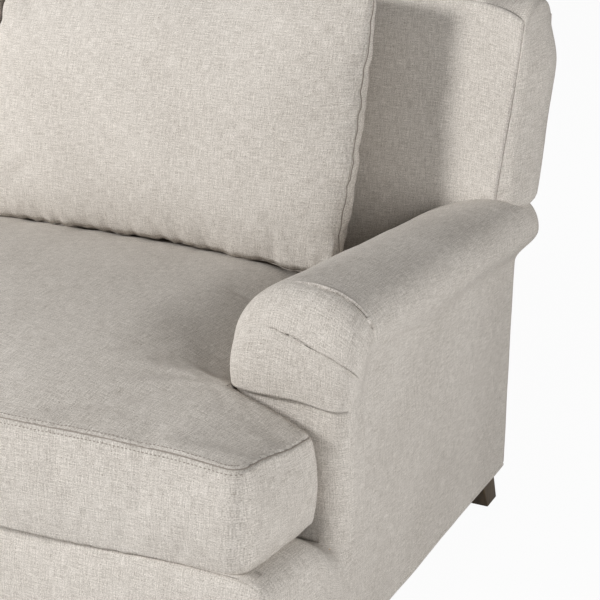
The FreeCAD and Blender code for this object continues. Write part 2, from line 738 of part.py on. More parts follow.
def seat_core(grow=0.0):
    low = SEAT_Z + CORE_BOTTOM - grow
    high = SEAM_Z - EAR_DROP - CORE_TOP + grow
    return prism(seat_outline(low, CORE_INSET - grow), AXIS_Z * (high - low))


add("seat_cushion", seat_walls().common(seat_crown()).cut(seat_core(CAVITY)))
add("seat_core", seat_core())


# Back cushions: knife-edged pillows that lean on the back and stand on the seat cushion

CUSHION_FOOT_Y = face_y(SEAM_Z) - CUSHION_REAR - CUSHION_SLOUCH - CUSHION_FRONT * CUSHION_EDGE
CUSHION_Z = seat_top(CUSHION_FOOT_Y) + CLEAR
CUSHION_HALF = (HALF_W - CUSHION_SIDE - CUSHION_SPLIT / 2) / 2
CUSHION_X = CUSHION_SPLIT / 2 + CUSHION_HALF


def pillow_level(level, inset):
    """Outline of a cushion at a share of its height: full in front, flatter behind, a seam at each side."""
    z = CUSHION_Z + inset + (CUSHION_H - 2 * inset) * level
    rear_swell = CUSHION_REAR + CUSHION_SLOUCH * (1 - (z - CUSHION_Z) / CUSHION_H) ** 2
    seam_y = face_y(z) - rear_swell - CLEAR
    fullness = CUSHION_EDGE + (1 - CUSHION_EDGE) * math.sqrt(1 - (2 * level - 1) ** 2)
    swell = fullness * (1 - inset / CUSHION_REAR)
    half = CUSHION_HALF - CUSHION_DRAW * math.sin(math.pi * level) - inset
    left = (CUSHION_X - half, seam_y)
    right = (CUSHION_X + half, seam_y)
    front = (CUSHION_X, seam_y - CUSHION_FRONT * swell)
    rear = (CUSHION_X, seam_y + rear_swell * swell)
    return closed_wire(in_xy(z), left, [(front, right), (rear, left)])


def pillow(inset):
    return loft([pillow_level(level, inset) for level in CUSHION_LEVELS])


add_pair("back_cushion", pillow(0.0).cut(pillow(FILL_INSET - CAVITY)))
add_pair("back_fill", pillow(FILL_INSET))


# Place the whole piece over its origin and write each sub-part

os.makedirs("parts", exist_ok=True)
extent = Part.makeCompound(list(PIECES.values())).optimalBoundingBox(False, False)
to_origin = vec(-(extent.XMin + extent.XMax) / 2, -(extent.YMin + extent.YMax) / 2, -extent.ZMin)
for node, piece in PIECES.items():
    piece.translate(to_origin)
    piece.exportStep("parts/" + node + ".step")
    print(node, len(piece.Solids), piece.isValid(), round(piece.Volume / 1000.0))
print("size", round(extent.XLength), round(extent.YLength), round(extent.ZLength))
print("shift", to_origin.x, to_origin.y, to_origin.z)
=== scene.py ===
import bpy
import bmesh
import math
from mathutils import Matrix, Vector, noise
from mathutils.bvhtree import BVHTree
from mathutils.kdtree import KDTree
from mathutils.geometry import delaunay_2d_cdt


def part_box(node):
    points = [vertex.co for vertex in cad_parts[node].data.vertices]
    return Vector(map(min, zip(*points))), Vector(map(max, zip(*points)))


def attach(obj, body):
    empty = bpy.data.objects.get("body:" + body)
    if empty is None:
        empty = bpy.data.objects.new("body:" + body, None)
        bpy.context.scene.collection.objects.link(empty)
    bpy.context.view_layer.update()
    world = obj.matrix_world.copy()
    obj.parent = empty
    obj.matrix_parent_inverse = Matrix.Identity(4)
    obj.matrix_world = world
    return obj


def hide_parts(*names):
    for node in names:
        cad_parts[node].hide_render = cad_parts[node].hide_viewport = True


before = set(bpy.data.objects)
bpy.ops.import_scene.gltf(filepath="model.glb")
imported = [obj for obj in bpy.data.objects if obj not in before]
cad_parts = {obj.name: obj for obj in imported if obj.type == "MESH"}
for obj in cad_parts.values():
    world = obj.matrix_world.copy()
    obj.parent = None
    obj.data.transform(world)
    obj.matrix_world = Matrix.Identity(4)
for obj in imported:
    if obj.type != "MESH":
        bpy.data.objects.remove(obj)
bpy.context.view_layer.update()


# Hardwood frame
# Rails, posts and corner blocks of kiln-dried beech, planed and left bare inside the upholstery.
# They are glued, screwed and bolted, and only the underside ever shows a little of them.
TIMBER_NODES = ["front_rail", "rear_rail", "centre_rail", "left_side_rail", "right_side_rail",
                "corner_blocks", "left_arm_post", "right_arm_post", "left_arm_rail", "right_arm_rail",
                "left_back_post", "right_back_post", "centre_back_post", "back_lower_rail", "back_top_rail"]
BEECH_DARK = (0.42, 0.27, 0.15, 1.0)
BEECH_LIGHT = (0.62, 0.45, 0.28, 1.0)
GRAIN_ACROSS = 70.0
GRAIN_ALONG = 5.0
PORE_ACROSS = 6.0
PORE_ALONG = 2.0
GRAIN_DEPTH = 0.0006


class Socket:
    """A shader socket that plain expressions can use: a sum or product of sockets adds its Math node."""

    def __init__(self, tree, socket):
        self.tree = tree
        self.socket = socket

    def node(self, kind, settings=None, inputs=None, output=0):
        """Adds a node, sets it up, fills its sockets and returns one of its outputs."""
        made = self.tree.nodes.new(kind)
        for key, value in (settings or {}).items():
            if key == "stops":
                for stop, (position, grey) in zip(made.color_ramp.elements, value):
                    stop.position = position
                    stop.color = (grey, grey, grey, 1.0)
            else:
                setattr(made, key, value)
        for key, value in (inputs or {}).items():
            if isinstance(value, Socket):
                self.tree.links.new(value.socket, made.inputs[key])
            else:
                made.inputs[key].default_value = value
        return Socket(self.tree, made.outputs[output])

    def math(self, operation, first, second):
        return self.node("ShaderNodeMath", {"operation": operation}, {0: first, 1: second})

    def __add__(self, other):
        return self.math("ADD", self, other)

    def __mul__(self, other):
        return self.math("MULTIPLY", self, other)

    def sine(self):
        return self.math("SINE", self, 0.0)

    def mix(self, low, high):
        """A colour between two colours, with this socket as the share of the second."""
        return self.node("ShaderNodeMix", {"data_type": "RGBA"}, {0: self, 6: low, 7: high}, output=2)

    def ramp(self, *stops):
        return self.node("ShaderNodeValToRGB", {"stops": stops}, {0: self})

    def speckle(self, x, y, z, detail=2.0, rough=0.5):
        """Noise at a place given as three numbers or sockets."""
        place = self.node("ShaderNodeCombineXYZ", {}, {0: x, 1: y, 2: z})
        return self.node("ShaderNodeTexNoise", {}, {"Vector": place, "Scale": 1.0, "Detail": detail,
                                                    "Roughness": rough})

    def feed(self, shader, name):
        self.tree.links.new(self.socket, shader.inputs[name])

    def bump(self, shader, strength, distance):
        self.node("ShaderNodeBump", {}, {"Height": self, "Strength": strength, "Distance": distance}
                  ).feed(shader, "Normal")


def new_finish(name):
    """An empty material with its shader and the three coordinates of the piece it is on."""
    material = bpy.data.materials.new(name)
    material.use_nodes = True
    tree = material.node_tree
    start = Socket(tree, None)
    place = start.node("ShaderNodeTexCoord", output="Object")
    split = [start.node("ShaderNodeSeparateXYZ", {}, {0: place}, output=i) for i in range(3)]
    return material, tree.nodes["Principled BSDF"], split


def timber(name, dark, light, along, rough, coat=0.0):
    """Wood whose grain runs along one axis: 0, 1 or 2."""
    material, shader, place = new_finish(name)
    grain = [axis * GRAIN_ACROSS for axis in place]
    grain[along] = place[along] * GRAIN_ALONG
    rings = place[0].speckle(grain[0], grain[1], grain[2], detail=6.0, rough=0.62)
    pores = place[0].speckle(grain[0] * PORE_ACROSS, grain[1] * PORE_ACROSS, grain[2] * PORE_ALONG,
                             detail=1.0)
    figure = rings.ramp((0.32, 0.0), (0.68, 1.0))
    figure.mix(dark, light).feed(shader, "Base Color")
    (pores * 0.16 + rough).feed(shader, "Roughness")
    (rings * 0.6 + pores * 0.4).bump(shader, 0.25, GRAIN_DEPTH)
    shader.inputs["Coat Weight"].default_value = coat
    return material


def dress(material, *nodes):
    for node in nodes:
        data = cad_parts[node].data
        data.materials.clear()
        data.materials.append(material)


beech = timber("beech", BEECH_DARK, BEECH_LIGHT, 0, 0.55)
dress(beech, *TIMBER_NODES)


# Hidden springing and filling
# Woven elastic webbing carries the seat and the back. The seat cushion has a foam core, the back cushions
# have fibre pads. All of it lies inside the covers.
WEBBING_DARK = (0.10, 0.085, 0.07, 1.0)
WEBBING_LIGHT = (0.36, 0.31, 0.25, 1.0)
RIB_PITCH = 0.0035
RIB_DEPTH = 0.0005
YARN_GRAIN = 900.0
FOAM_DARK = (0.70, 0.64, 0.44, 1.0)
FOAM_LIGHT = (0.84, 0.79, 0.60, 1.0)
FIBRE_DARK = (0.72, 0.72, 0.72, 1.0)
FIBRE_LIGHT = (0.88, 0.88, 0.87, 1.0)
FOAM_CELLS = 420.0
FIBRE_CELLS = 160.0
CELL_DEPTH = 0.001


def grains(place, scale, detail=2.0, rough=0.5):
    """Even noise all over a piece, with that many grains to the metre."""
    return place[0].speckle(*[axis * scale for axis in place], detail=detail, rough=rough)


def ribbed_webbing():
    material, shader, place = new_finish("elastic_webbing")
    rib = ((place[0] + place[1] + place[2]) * (2 * math.pi / RIB_PITCH)).sine()
    yarn = grains(place, YARN_GRAIN)
    shade = rib * 0.25 + yarn * 0.5
    shade.mix(WEBBING_DARK, WEBBING_LIGHT).feed(shader, "Base Color")
    (yarn * 0.2 + 0.7).feed(shader, "Roughness")
    rib.bump(shader, 0.4, RIB_DEPTH)
    return material


def filling(name, dark, light, scale):
    """Foam or fibre: pale, matt and full of small cells."""
    material, shader, place = new_finish(name)
    cells = grains(place, scale, detail=4.0, rough=0.7)
    cells.mix(dark, light).feed(shader, "Base Color")
    (cells * 0.1 + 0.85).feed(shader, "Roughness")
    cells.bump(shader, 0.5, CELL_DEPTH)
    return material


dress(ribbed_webbing(), "seat_webbing", "cross_webbing", "back_webbing")
dress(filling("foam", FOAM_DARK, FOAM_LIGHT, FOAM_CELLS), "seat_core")
dress(filling("fibre", FIBRE_DARK, FIBRE_LIGHT, FIBRE_CELLS), "left_back_fill", "right_back_fill")


# Legs
# Four short square legs of dark stained hardwood, tapered to the foot, the rear pair raked back.
# A bolt through a steel plate holds each to the frame, and a nylon glide is pressed into the foot.
LEG_DARK = (0.030, 0.019, 0.008, 1.0)
LEG_LIGHT = (0.105, 0.068, 0.030, 1.0)
LEG_EDGE = 0.0022
LEG_SHARP = 40.0
STEEL_DARK = (0.42, 0.42, 0.42, 1.0)
STEEL_LIGHT = (0.62, 0.62, 0.61, 1.0)
GLIDE_DARK = (0.03, 0.03, 0.03, 1.0)
GLIDE_LIGHT = (0.07, 0.07, 0.07, 1.0)
STEEL_CLOUDS = 120.0
GLIDE_GRAIN = 1500.0
GLIDE_DEPTH = 0.0002
LEG_FOOT = 0.044
LEG_KICK = 0.034


def steel():
    material, shader, place = new_finish("zinc_steel")
    cloud = grains(place, STEEL_CLOUDS, detail=4.0)
    cloud.mix(STEEL_DARK, STEEL_LIGHT).feed(shader, "Base Color")
    (cloud * 0.25 + 0.3).feed(shader, "Roughness")
    shader.inputs["Metallic"].default_value = 1.0
    return material


def nylon():
    material, shader, place = new_finish("nylon_glide")
    grain = grains(place, GLIDE_GRAIN)
    grain.mix(GLIDE_DARK, GLIDE_LIGHT).feed(shader, "Base Color")
    (grain * 0.2 + 0.4).feed(shader, "Roughness")
    grain.bump(shader, 0.15, GLIDE_DEPTH)
    return material


def select_only(piece):
    bpy.ops.object.select_all(action="DESELECT")
    piece.select_set(True)
    bpy.context.view_layer.objects.active = piece


def apply_modifier(piece, kind, **settings):
    select_only(piece)
    modifier = piece.modifiers.new(kind.lower(), kind)
    for key, value in settings.items():
        setattr(modifier, key, value)
    bpy.ops.object.modifier_apply(modifier=modifier.name)


def settle(piece, finish, body, nodes):
    """Gives a finished piece its material, its body and the solids that it stands for."""
    piece.data.materials.clear()
    piece.data.materials.append(finish)
    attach(piece, body)
    if nodes:
        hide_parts(*nodes)


def leg(node, kick):
    """A square block, its foot drawn in and set back in edit mode, with softened edges."""
    low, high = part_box(node)
    top = high[0] - low[0]
    middle_x = (low[0] + high[0]) / 2
    middle_y = low[1] + top / 2
    bpy.ops.object.select_all(action="DESELECT")
    bpy.ops.mesh.primitive_cube_add(size=1.0, location=(middle_x, middle_y, (low[2] + high[2]) / 2))
    piece = bpy.context.object
    piece.name = node + "_wood"
    piece.scale = (top, top, high[2] - low[2])
    bpy.ops.object.transform_apply(location=True, rotation=True, scale=True)
    bpy.ops.object.mode_set(mode="EDIT")
    form = bmesh.from_edit_mesh(piece.data)
    for vert in form.verts:
        vert.select = vert.co.z < (low[2] + high[2]) / 2
    form.select_flush_mode()
    bmesh.update_edit_mesh(piece.data)
    taper = LEG_FOOT / top
    outside = high[0] if middle_x > 0 else low[0]
    bpy.ops.transform.resize(value=(taper, taper, 1.0), center_override=(outside, middle_y, low[2]))
    bpy.ops.transform.translate(value=(0.0, kick, 0.0))
    bpy.ops.mesh.select_all(action="SELECT")
    bpy.ops.mesh.bevel(offset=LEG_EDGE, segments=3, affect="EDGES")
    bpy.ops.object.mode_set(mode="OBJECT")
    select_only(piece)
    bpy.ops.object.shade_smooth_by_angle(angle=math.radians(LEG_SHARP))
    return piece


stained = timber("stained_wood", LEG_DARK, LEG_LIGHT, 2, 0.38, coat=0.12)
for side in ("left", "right"):
    for end, kick in (("front", 0.0), ("rear", LEG_KICK)):
        node = side + "_" + end + "_leg"
        settle(leg(node, kick), stained, "frame", [node])
dress(steel(), "leg_plates", "leg_bolts", "arm_bolts")
dress(nylon(), "leg_glides")


# Seat deck and dust cover
# A foam pad covered with plain cotton lies on the webbing under the seat cushion.
# Black non-woven cloth is stapled under the frame to keep dust out.
DECK_DARK = (0.46, 0.42, 0.36, 1.0)
DECK_LIGHT = (0.60, 0.56, 0.50, 1.0)
DUST_DARK = (0.008, 0.008, 0.008, 1.0)
DUST_LIGHT = (0.024, 0.024, 0.024, 1.0)
DECK_THREADS = 900.0
DUST_THREADS = 700.0
SLUB_THREADS = 24.0
PLAIN_DEPTH = 0.0005
MM = 0.001
WELD = 0.00012
FINE_ENDS = (0.0, 0.5, 1.4, 2.6, 4.2, 6.5, 10.0)
DECK_ROLL = 9.0
DECK_STEP = 28.0
DECK_DISH = 3.0
DECK_DISH_RUN = (40.0, 260.0)
DUST_STEP = 30.0
DUST_SAG = 4.2
DUST_BAYS = 2


def plain_cloth(name, dark, light, count):
    """A flat plain weave of that many threads to the metre, on the cloth's own map."""
    material, shader, place = new_finish(name)
    cloth = place[0].node("ShaderNodeUVMap", {"uv_map": "cloth"})
    across, along = [cloth.node("ShaderNodeSeparateXYZ", {}, {0: cloth}, output=i) for i in range(2)]
    turn = 2 * math.pi * count
    weave = (across * turn).sine() * (along * turn).sine()
    warp = cloth.speckle(across * count, along * SLUB_THREADS, 0.0)
    weft = cloth.speckle(across * SLUB_THREADS, along * count, 4.0)
    shade = (warp + weft) * 0.5
    shade.ramp((0.3, 0.0), (0.7, 1.0)).mix(dark, light).feed(shader, "Base Color")
    (shade * 0.15 + 0.8).feed(shader, "Roughness")
    (weave * 0.4 + shade).bump(shader, 0.3, PLAIN_DEPTH)
    return material


def spaced(length, step, fine=FINE_ENDS, like=None):
    """Places from 0 to a length, close together near both ends, as many as for a like length."""
    inner = length - 2 * fine[-1]
    count = max(1, round(((like or length) - 2 * fine[-1]) / step))
    middle = [fine[-1] + inner * i / count for i in range(1, count)]
    return list(fine) + middle + [length - d for d in reversed(fine)]


def edge_round(distance, radius):
    """How far a surface turns in, at a distance from its edge, round a quarter circle."""
    if distance >= radius:
        return 0.0
    return radius - math.sqrt(max(0.0, radius ** 2 - (radius - distance) ** 2))


def smooth(start, end, value):
    share = min(1.0, max(0.0, (value - start) / (end - start)))
    return share * share * (3 - 2 * share)


def node_box(node):
    """A solid's lowest and highest corner in millimetres."""
    low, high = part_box(node)
    return [v / MM for v in low], [v / MM for v in high]


def unrest(x, y, z, size, height):
    """A soft unevenness of the padding: size is its length, height how far it swells, in millimetres."""
    return height * noise.noise(Vector((x, y, z)) / size)


def new_piece(form, name):
    """Makes a smooth object of a finished mesh."""
    data = bpy.data.meshes.new(name)
    form.to_mesh(data)
    form.free()
    data.shade_smooth()
    made = bpy.data.objects.new(name, data)
    bpy.context.collection.objects.link(made)
    return made


def net_faces(form, cloth_map, rows, threads):
    """Fills a net of points with faces and lays its threads out on the cloth's map."""
    for i in range(len(rows) - 1):
        for j in range(len(rows[0]) - 1):
            corners = ((i, j), (i, j + 1), (i + 1, j + 1), (i + 1, j))
            face = form.faces.new([rows[a][b] for a, b in corners])
            for loop, (a, b) in zip(face.loops, corners):
                loop[cloth_map].uv = threads[a][b]


class Skin:
    """A cloth surface of strips of points in millimetres, sewn together where their edges meet."""

    def __init__(self):
        self.mesh = bmesh.new()
        self.lift = self.mesh.verts.layers.float.new("lift")
        self.map = self.mesh.loops.layers.uv.new("cloth")

    def strip(self, lines):
        """Adds lines of points, each point with its lift. The threads run along and across the lines."""
        rows = [[Vector(point) for point, _ in line] for line in lines]
        middle = len(rows[0]) // 2
        along = 0.0
        verts = []
        threads = []
        for i, row in enumerate(rows):
            if i:
                along += (row[middle] - rows[i - 1][middle]).length
            reach = [0.0]
            for here, after in zip(row, row[1:]):
                reach.append(reach[-1] + (after - here).length)
            threads.append([((r - reach[middle]) * MM, along * MM) for r in reach])
            verts.append([self.mesh.verts.new(point * MM) for point in row])
            for vert, (_, lift) in zip(verts[-1], lines[i]):
                vert[self.lift] = lift * MM
        net_faces(self.mesh, self.map, verts, threads)

    def piece(self, name, thickness=0.0):
        """Sews the strips together, turns them outwards, lifts the folds and makes the object."""
        form = self.mesh
        bmesh.ops.remove_doubles(form, verts=form.verts, dist=WELD)
        bmesh.ops.dissolve_degenerate(form, edges=form.edges, dist=WELD / 10)
        bmesh.ops.recalc_face_normals(form, faces=form.faces)
        middle = sum((v.co for v in form.verts), Vector()) / len(form.verts)
        outward = sum(f.normal.dot(f.calc_center_median() - middle) * f.calc_area() for f in form.faces)
        if outward < 0:
            bmesh.ops.reverse_faces(form, faces=form.faces)
        form.normal_update()
        for vert in form.verts:
            vert.co += vert.normal * vert[self.lift]
        made = new_piece(form, name)
        if thickness:
            apply_modifier(made, "SOLIDIFY", thickness=thickness * MM, offset=-1.0)
        return made


def flat_cloth(name, node, step, height):
    """Cloth over the plan of a solid and as thick as it, with a height for every place."""
    low, high = node_box(node)
    width = high[0] - low[0]
    depth = high[1] - low[1]
    skin = Skin()
    skin.strip([[((low[0] + x, low[1] + y, height(x, y, width, depth)), 0.0) for x in spaced(width, step)]
                for y in spaced(depth, step)])
    return skin.piece(name, thickness=high[2] - low[2])


def deck_level(x, y, width, depth):
    """Top of the covered pad: rolled over at its edges and dished a little by use."""
    edge = min(x, width - x, y, depth - y)
    return DECK_TOP - edge_round(edge, DECK_ROLL) - DECK_DISH * smooth(*DECK_DISH_RUN, edge)


def dust_level(x, y, width, depth):
    """The cloth under the frame, with a little sag between the rails."""
    across = x / width * DUST_BAYS % 1.0
    return DUST_Z - DUST_SAG * math.sin(math.pi * across) * math.sin(math.pi * y / depth)


DECK_TOP = node_box("deck_cloth")[1][2]
DUST_Z = node_box("dust_cover")[0][2]
deck = flat_cloth("seat_deck", "deck_pad", DECK_STEP, deck_level)
settle(deck, plain_cloth("deck_cotton", DECK_DARK, DECK_LIGHT, DECK_THREADS), "frame",
       ["deck_pad", "deck_cloth"])
under = flat_cloth("dust_cloth", "dust_cover", DUST_STEP, dust_level)
dust_cloth = plain_cloth("dust_cloth", DUST_DARK, DUST_LIGHT, DUST_THREADS)
settle(under, dust_cloth, "frame", ["dust_cover"])


# Rolled arms
# Each arm is one run of linen over padding: up the inside, over the roll, down the outside and round the
# front. At the nose the cloth is folded over twice and tucked under, and below it goes on over the ledge.
LINEN_DARK = (0.350, 0.314, 0.274, 1.0)
LINEN_LIGHT = (0.775, 0.730, 0.675, 1.0)
LINEN_FLECK = (0.20, 0.165, 0.13, 1.0)
THREADS = 640.0
SLUB = 48.0
CLOUDS = 7.0
FLECKS = 420.0
WEAVE_PITCH = 0.0018
WEAVE_DEPTH = 0.0007
CLOTH_T = 0.4
ARM_ROUND = 32.0
ARM_END_ROUND = 6.0
ARM_END_IN = 10.0
NOSE_ROUND = 16.0
FRONT_WIDEN = 90.0
NOSE_TURN = 90.0
NECK_Y = 60.6
NOTCH_RISE = 15.0
CREST_LIFT = 2.0
CREST_X = (70.0, 140.0)
CREST_FALL = 7.0
WAIST_IN = (94.0, 77.0)
WAIST_OUT = 58.0
ROLL_IN = (17.0, 12.0)
ROLL_OUT = (12.0, 36.0)
ROLL_SQUARE = (1.9, 1.6)
OUTER_SQUARE = 2.1
CREASE_Y = -100.0
CREASE_Z = 459.0
CREASE_SLOPE = 0.21
CREASE_DEPTH = 3.2
CREASE_WIDTH = 4.0
CREASE_REACH = 5.0
CREASE_START = (-190.0, -150.0)
CREASE_END = (-60.0, 40.0)
NOSE_SQUARE = 2.45
NOSE_END_SQUARE = 3.5
NOSE_NARROW = (0.3, 0.8)
NOSE_ARCS = (26.0, 70.0, 76.0)
NOSE_BULGE = 1.8
FOLD_LIFT = 2.6
FOLD_SPANS = ((24.0, 2.0), (22.0, 1.9))
FOLD_FADES = ((0.44, 0.56, 0.77, 0.84), (0.40, 0.50, 0.74, 0.82))
FOLD_ONE = (84.5, 90.0)
FOLD_ONE_RISE = (0.74, 0.83)
FOLD_TWO = 56.0
FOLD_TWO_SLOPE = 53.0
FOLD_TWO_START = 0.46
FOLD_TWO_RUN = 0.34
TUCK_Z = 232.0
TUCK_DROOP = 8.0
TUCK_START = (0.52, 0.70)
MERGE_START = (0.58, 0.75)
MERGE_DEPTH = 80.0
LEDGE_FRONT_RISE = 1.0
LEDGE_AHEAD = 25.0
LEDGE_FALL = 12.0
LEDGE_DIP = 95.0
LEDGE_END_ROUND = 7.0
LEDGE_EDGE_SHARE = 1 / 3
HEM_TOP = 14.0
HEM_CORD = 8.0
HEM_GROOVE = 1.8
HEM_GROOVE_WIDTH = 1.1
HEM_ROUND = 4.0
HEM_LEVELS = (11.0, 9.5, 8.6, 8.0, 7.4, 6.5, 5.2, 4.0, 2.8, 1.6, 0.7, 0.0)
PADDING = (130.0, 1.8)
PADDING_FINE = (55.0, 0.6)
PADDING_SHIFT = (400.0, 900.0)
HINGE_FADE = 12.0
HEM_FADE = 20.0
SIDE_COLUMNS = 16
CORNER_COLUMNS = 12
FRONT_COLUMNS = 52
LEDGE_COLUMNS = 16
LEDGE_ROWS = 40
NOSE_MIDDLE_ROWS = 8
NOSE_LOWER_ROWS = 18
NOSE_STEPS = 200
ARCH_STEPS = 24
WALL_STEP = 7.0
RUN_STEP = 8.0


def linen(name):
    """Plain-woven linen: uneven slubbed threads both ways, soft cloudiness and a few dark flecks."""
    material, shader, place = new_finish(name)
    cloth = place[0].node("ShaderNodeUVMap", {"uv_map": "cloth"})
    across, along = [cloth.node("ShaderNodeSeparateXYZ", {}, {0: cloth}, output=i) for i in range(2)]
    warp = cloth.speckle(across * THREADS, along * SLUB, 0.0, detail=3.0, rough=0.6)
    weft = cloth.speckle(across * SLUB, along * THREADS, 7.0, detail=3.0, rough=0.6)
    grit = cloth.speckle(across * THREADS, along * THREADS, 13.0, detail=1.0)
    cloud = cloth.speckle(across * CLOUDS, along * CLOUDS, 3.0, detail=3.0)
    turn = 2 * math.pi / WEAVE_PITCH
    weave = (across * turn).sine() * (along * turn).sine()
    threads = warp * 0.30 + weft * 0.30 + grit * 0.40
    shade = threads * 0.92 + cloud * 0.08
    tone = shade.ramp((0.38, 0.0), (0.62, 1.0)).mix(LINEN_DARK, LINEN_LIGHT)
    fleck = cloth.speckle(across * FLECKS, along * FLECKS, 21.0, detail=0.0).ramp((0.765, 0.0), (0.80, 0.6))
    fleck.mix(tone, LINEN_FLECK).feed(shader, "Base Color")
    (threads * 0.12 + 0.82).feed(shader, "Roughness")
    (threads + weave * 0.25).bump(shader, 0.45, WEAVE_DEPTH)
    shader.inputs["Specular IOR Level"].default_value = 0.25
    return material


def even(points, count):
    """The same line as count + 1 points at equal steps."""
    reach = [0.0]
    for here, after in zip(points, points[1:]):
        reach.append(reach[-1] + math.dist(here, after))
    out = []
    k = 0
    for i in range(count + 1):
        want = reach[-1] * i / count
        while k < len(reach) - 2 and reach[k + 1] < want:
            k += 1
        share = (want - reach[k]) / (reach[k + 1] - reach[k])
        out.append(tuple(a + (b - a) * share for a, b in zip(points[k], points[k + 1])))
    return out


arm_low, arm_high = node_box("right_arm_cover")
arm_front_low, arm_front_high = node_box("right_arm_front")
outside_low, outside_high = node_box("right_outside_arm")
ARM_IN = arm_front_low[0]
ARM_OUT = outside_high[0]
ARM_FRONT = arm_front_low[1]
ARM_REAR = node_box("outside_back")[0][1] + ARM_END_IN
HINGE_Z = arm_front_high[2]
HINGE_Y = ARM_FRONT + NECK_Y
CREST = arm_high[2] - HINGE_Z
CREST_TOP = CREST + CREST_LIFT
COVER_Z = outside_low[2]
HEM_Z = COVER_Z + HEM_TOP
DECK_Z = node_box("front_border")[1][2]
BASE_FRONT = node_box("right_ledge")[0][1]
ARCH_COLUMNS = 2 * SIDE_COLUMNS + 2 * CORNER_COLUMNS + FRONT_COLUMNS
columns = [i / ARCH_COLUMNS for i in range(ARCH_COLUMNS + 1)]
ledge_run = BASE_FRONT - LEDGE_AHEAD - ARM_FRONT
ledge_places = [ARM_FRONT + ledge_run * i / LEDGE_ROWS for i in range(1, LEDGE_ROWS + 1)]


def half_arch(width, height, square):
    """One side of a roll, from its widest level to its crest, as places in from the side and up."""
    turns = [math.pi / 2 * i / ARCH_STEPS for i in range(ARCH_STEPS + 1)]
    flat = 2 / square
    return [(width * (1 - math.cos(t) ** flat), height * math.sin(t) ** flat) for t in turns]


def between(pair, share):
    return pair[0] + (pair[1] - pair[0]) * share


def neck(side_x, over, waist):
    """One side of the roll under its widest level, from the notch up."""
    shares = [i / ARCH_STEPS for i in range(ARCH_STEPS)]
    return [(side_x + over * math.sin(math.pi / 2 * share) ** 2, NOTCH_RISE + (waist - NOTCH_RISE) * share)
            for share in shares]


def arch_line(over_in, over_out, crest_x, crest, waist_in, square_in, square_out):
    """The roll over its hinge line, from the inside of the arm to its outside: places across and heights."""
    waist_out = CREST - WAIST_OUT
    left = ARM_IN - over_in
    right = ARM_OUT + over_out
    points = [(ARM_IN, 0.0)]
    points += neck(ARM_IN, -over_in, waist_in)
    for x, z in half_arch(crest_x - left, crest - waist_in, square_in):
        points.append((left + x, waist_in + z))
    for x, z in reversed(half_arch(right - crest_x, crest - waist_out, square_out)[:-1]):
        points.append((right - x, waist_out + z))
    points += reversed(neck(ARM_OUT, over_out, waist_out))
    points.append((ARM_OUT, 0.0))
    return even(points, ARCH_COLUMNS)


def run_arch(share):
    """The roll at a share of its length, from nose to back: its crest swings out and sinks a little."""
    return arch_line(between(ROLL_IN, share), between(ROLL_OUT, share), ARM_IN + between(CREST_X, share),
                     CREST_TOP - CREST_FALL * share, CREST_TOP - between(WAIST_IN, share),
                     between(ROLL_SQUARE, share), OUTER_SQUARE)


def nose_arch(down):
    """The roll swung down by a share towards the arm's front: less overhang and squarer."""
    square = ROLL_SQUARE[0] + (NOSE_END_SQUARE - ROLL_SQUARE[0]) * down ** 0.7
    return arch_line(ROLL_IN[0] * (1 - NOSE_NARROW[0] * down), ROLL_OUT[0] * (1 - NOSE_NARROW[1] * down),
                     ARM_IN + CREST_X[0], CREST_TOP, CREST_TOP - WAIST_IN[0], square,
                     square + (OUTER_SQUARE - ROLL_SQUARE[0]) * (1 - down))


def wall_levels(top, bottom):
    count = round((top - bottom) / WALL_STEP)
    return [top + (bottom - top) * i / count for i in range(count + 1)]


def ledge_top(y):
    """Height of the ledge: up at the padded front edge, falling to the tuck at the arm."""
    dip = smooth(ARM_FRONT - LEDGE_DIP, ARM_FRONT, y)
    fall = smooth(BASE_FRONT, ARM_FRONT, y)
    low = DECK_Z - LEDGE_FALL
    return DECK_Z + LEDGE_FRONT_RISE * (1 - fall) - LEDGE_FALL * fall - (low - TUCK_Z) * dip ** 1.6


def side_inset(y, z):
    """How far the outside turns in: round the arm's front edge, the ledge's top and the tuck."""
    if y < ARM_FRONT:
        return edge_round(ledge_top(y) - z, ARM_ROUND)
    if z >= TUCK_Z:
        return edge_round(y - ARM_FRONT, ARM_ROUND)
    return edge_round(math.hypot(y - ARM_FRONT, TUCK_Z - z), ARM_ROUND)


def hem(z):
    """Depth of the cloth at the bottom edge: rounded over a cord, with a groove above it."""
    groove = HEM_GROOVE * math.exp(-((z - COVER_Z - HEM_CORD) / HEM_GROOVE_WIDTH) ** 2)
    return groove + edge_round(z - COVER_Z, HEM_ROUND)


def roll_crease(x, y, z):
    """Depth of the slanting crease under the front of the roll, on the outside of the arm only."""
    if x <= ARM_OUT - CREASE_REACH:
        return 0.0
    middle = CREASE_Z - CREASE_SLOPE * (y - CREASE_Y)
    depth = CREASE_DEPTH * math.exp(-((z - middle) / CREASE_WIDTH) ** 2)
    return depth * smooth(*CREASE_START, y) * (1 - smooth(*CREASE_END, y))


def padding(side, x, y, z):
    """Unevenness of the padding, a little different in the two arms."""
    return (unrest(side * x + PADDING_SHIFT[0], y, z, *PADDING)
            + unrest(x, y, z + PADDING_SHIFT[1], *PADDING_FINE))


def fold_rows(span, lap):
    """Rows of cloth across a fold: where each lies flat, where it lies folded, and its lift."""
    behind = [(-span * k, -span * k, lift)
              for k, lift in ((1.0, 0.0), (0.7, 0.12), (0.45, 0.4), (0.25, 0.75), (0.1, 0.95))]
    lip = [(-0.9, -0.3 * lap, 1.0), (-0.5, 0.6 * lap, 0.9), (-0.2, lap, 0.62), (0.0, 0.85 * lap, 0.34)]
    tuck = [(0.3, 0.4 * lap, 0.12), (0.7, 0.25 * lap, -0.3), (1.2, 0.7 * lap, -0.42)]
    below = [(2.4, 1.7 * lap, -0.3), (5.0, 3.0 * lap, -0.1), (10.0, 10.0, 0.0)]
    return behind + lip + tuck + below


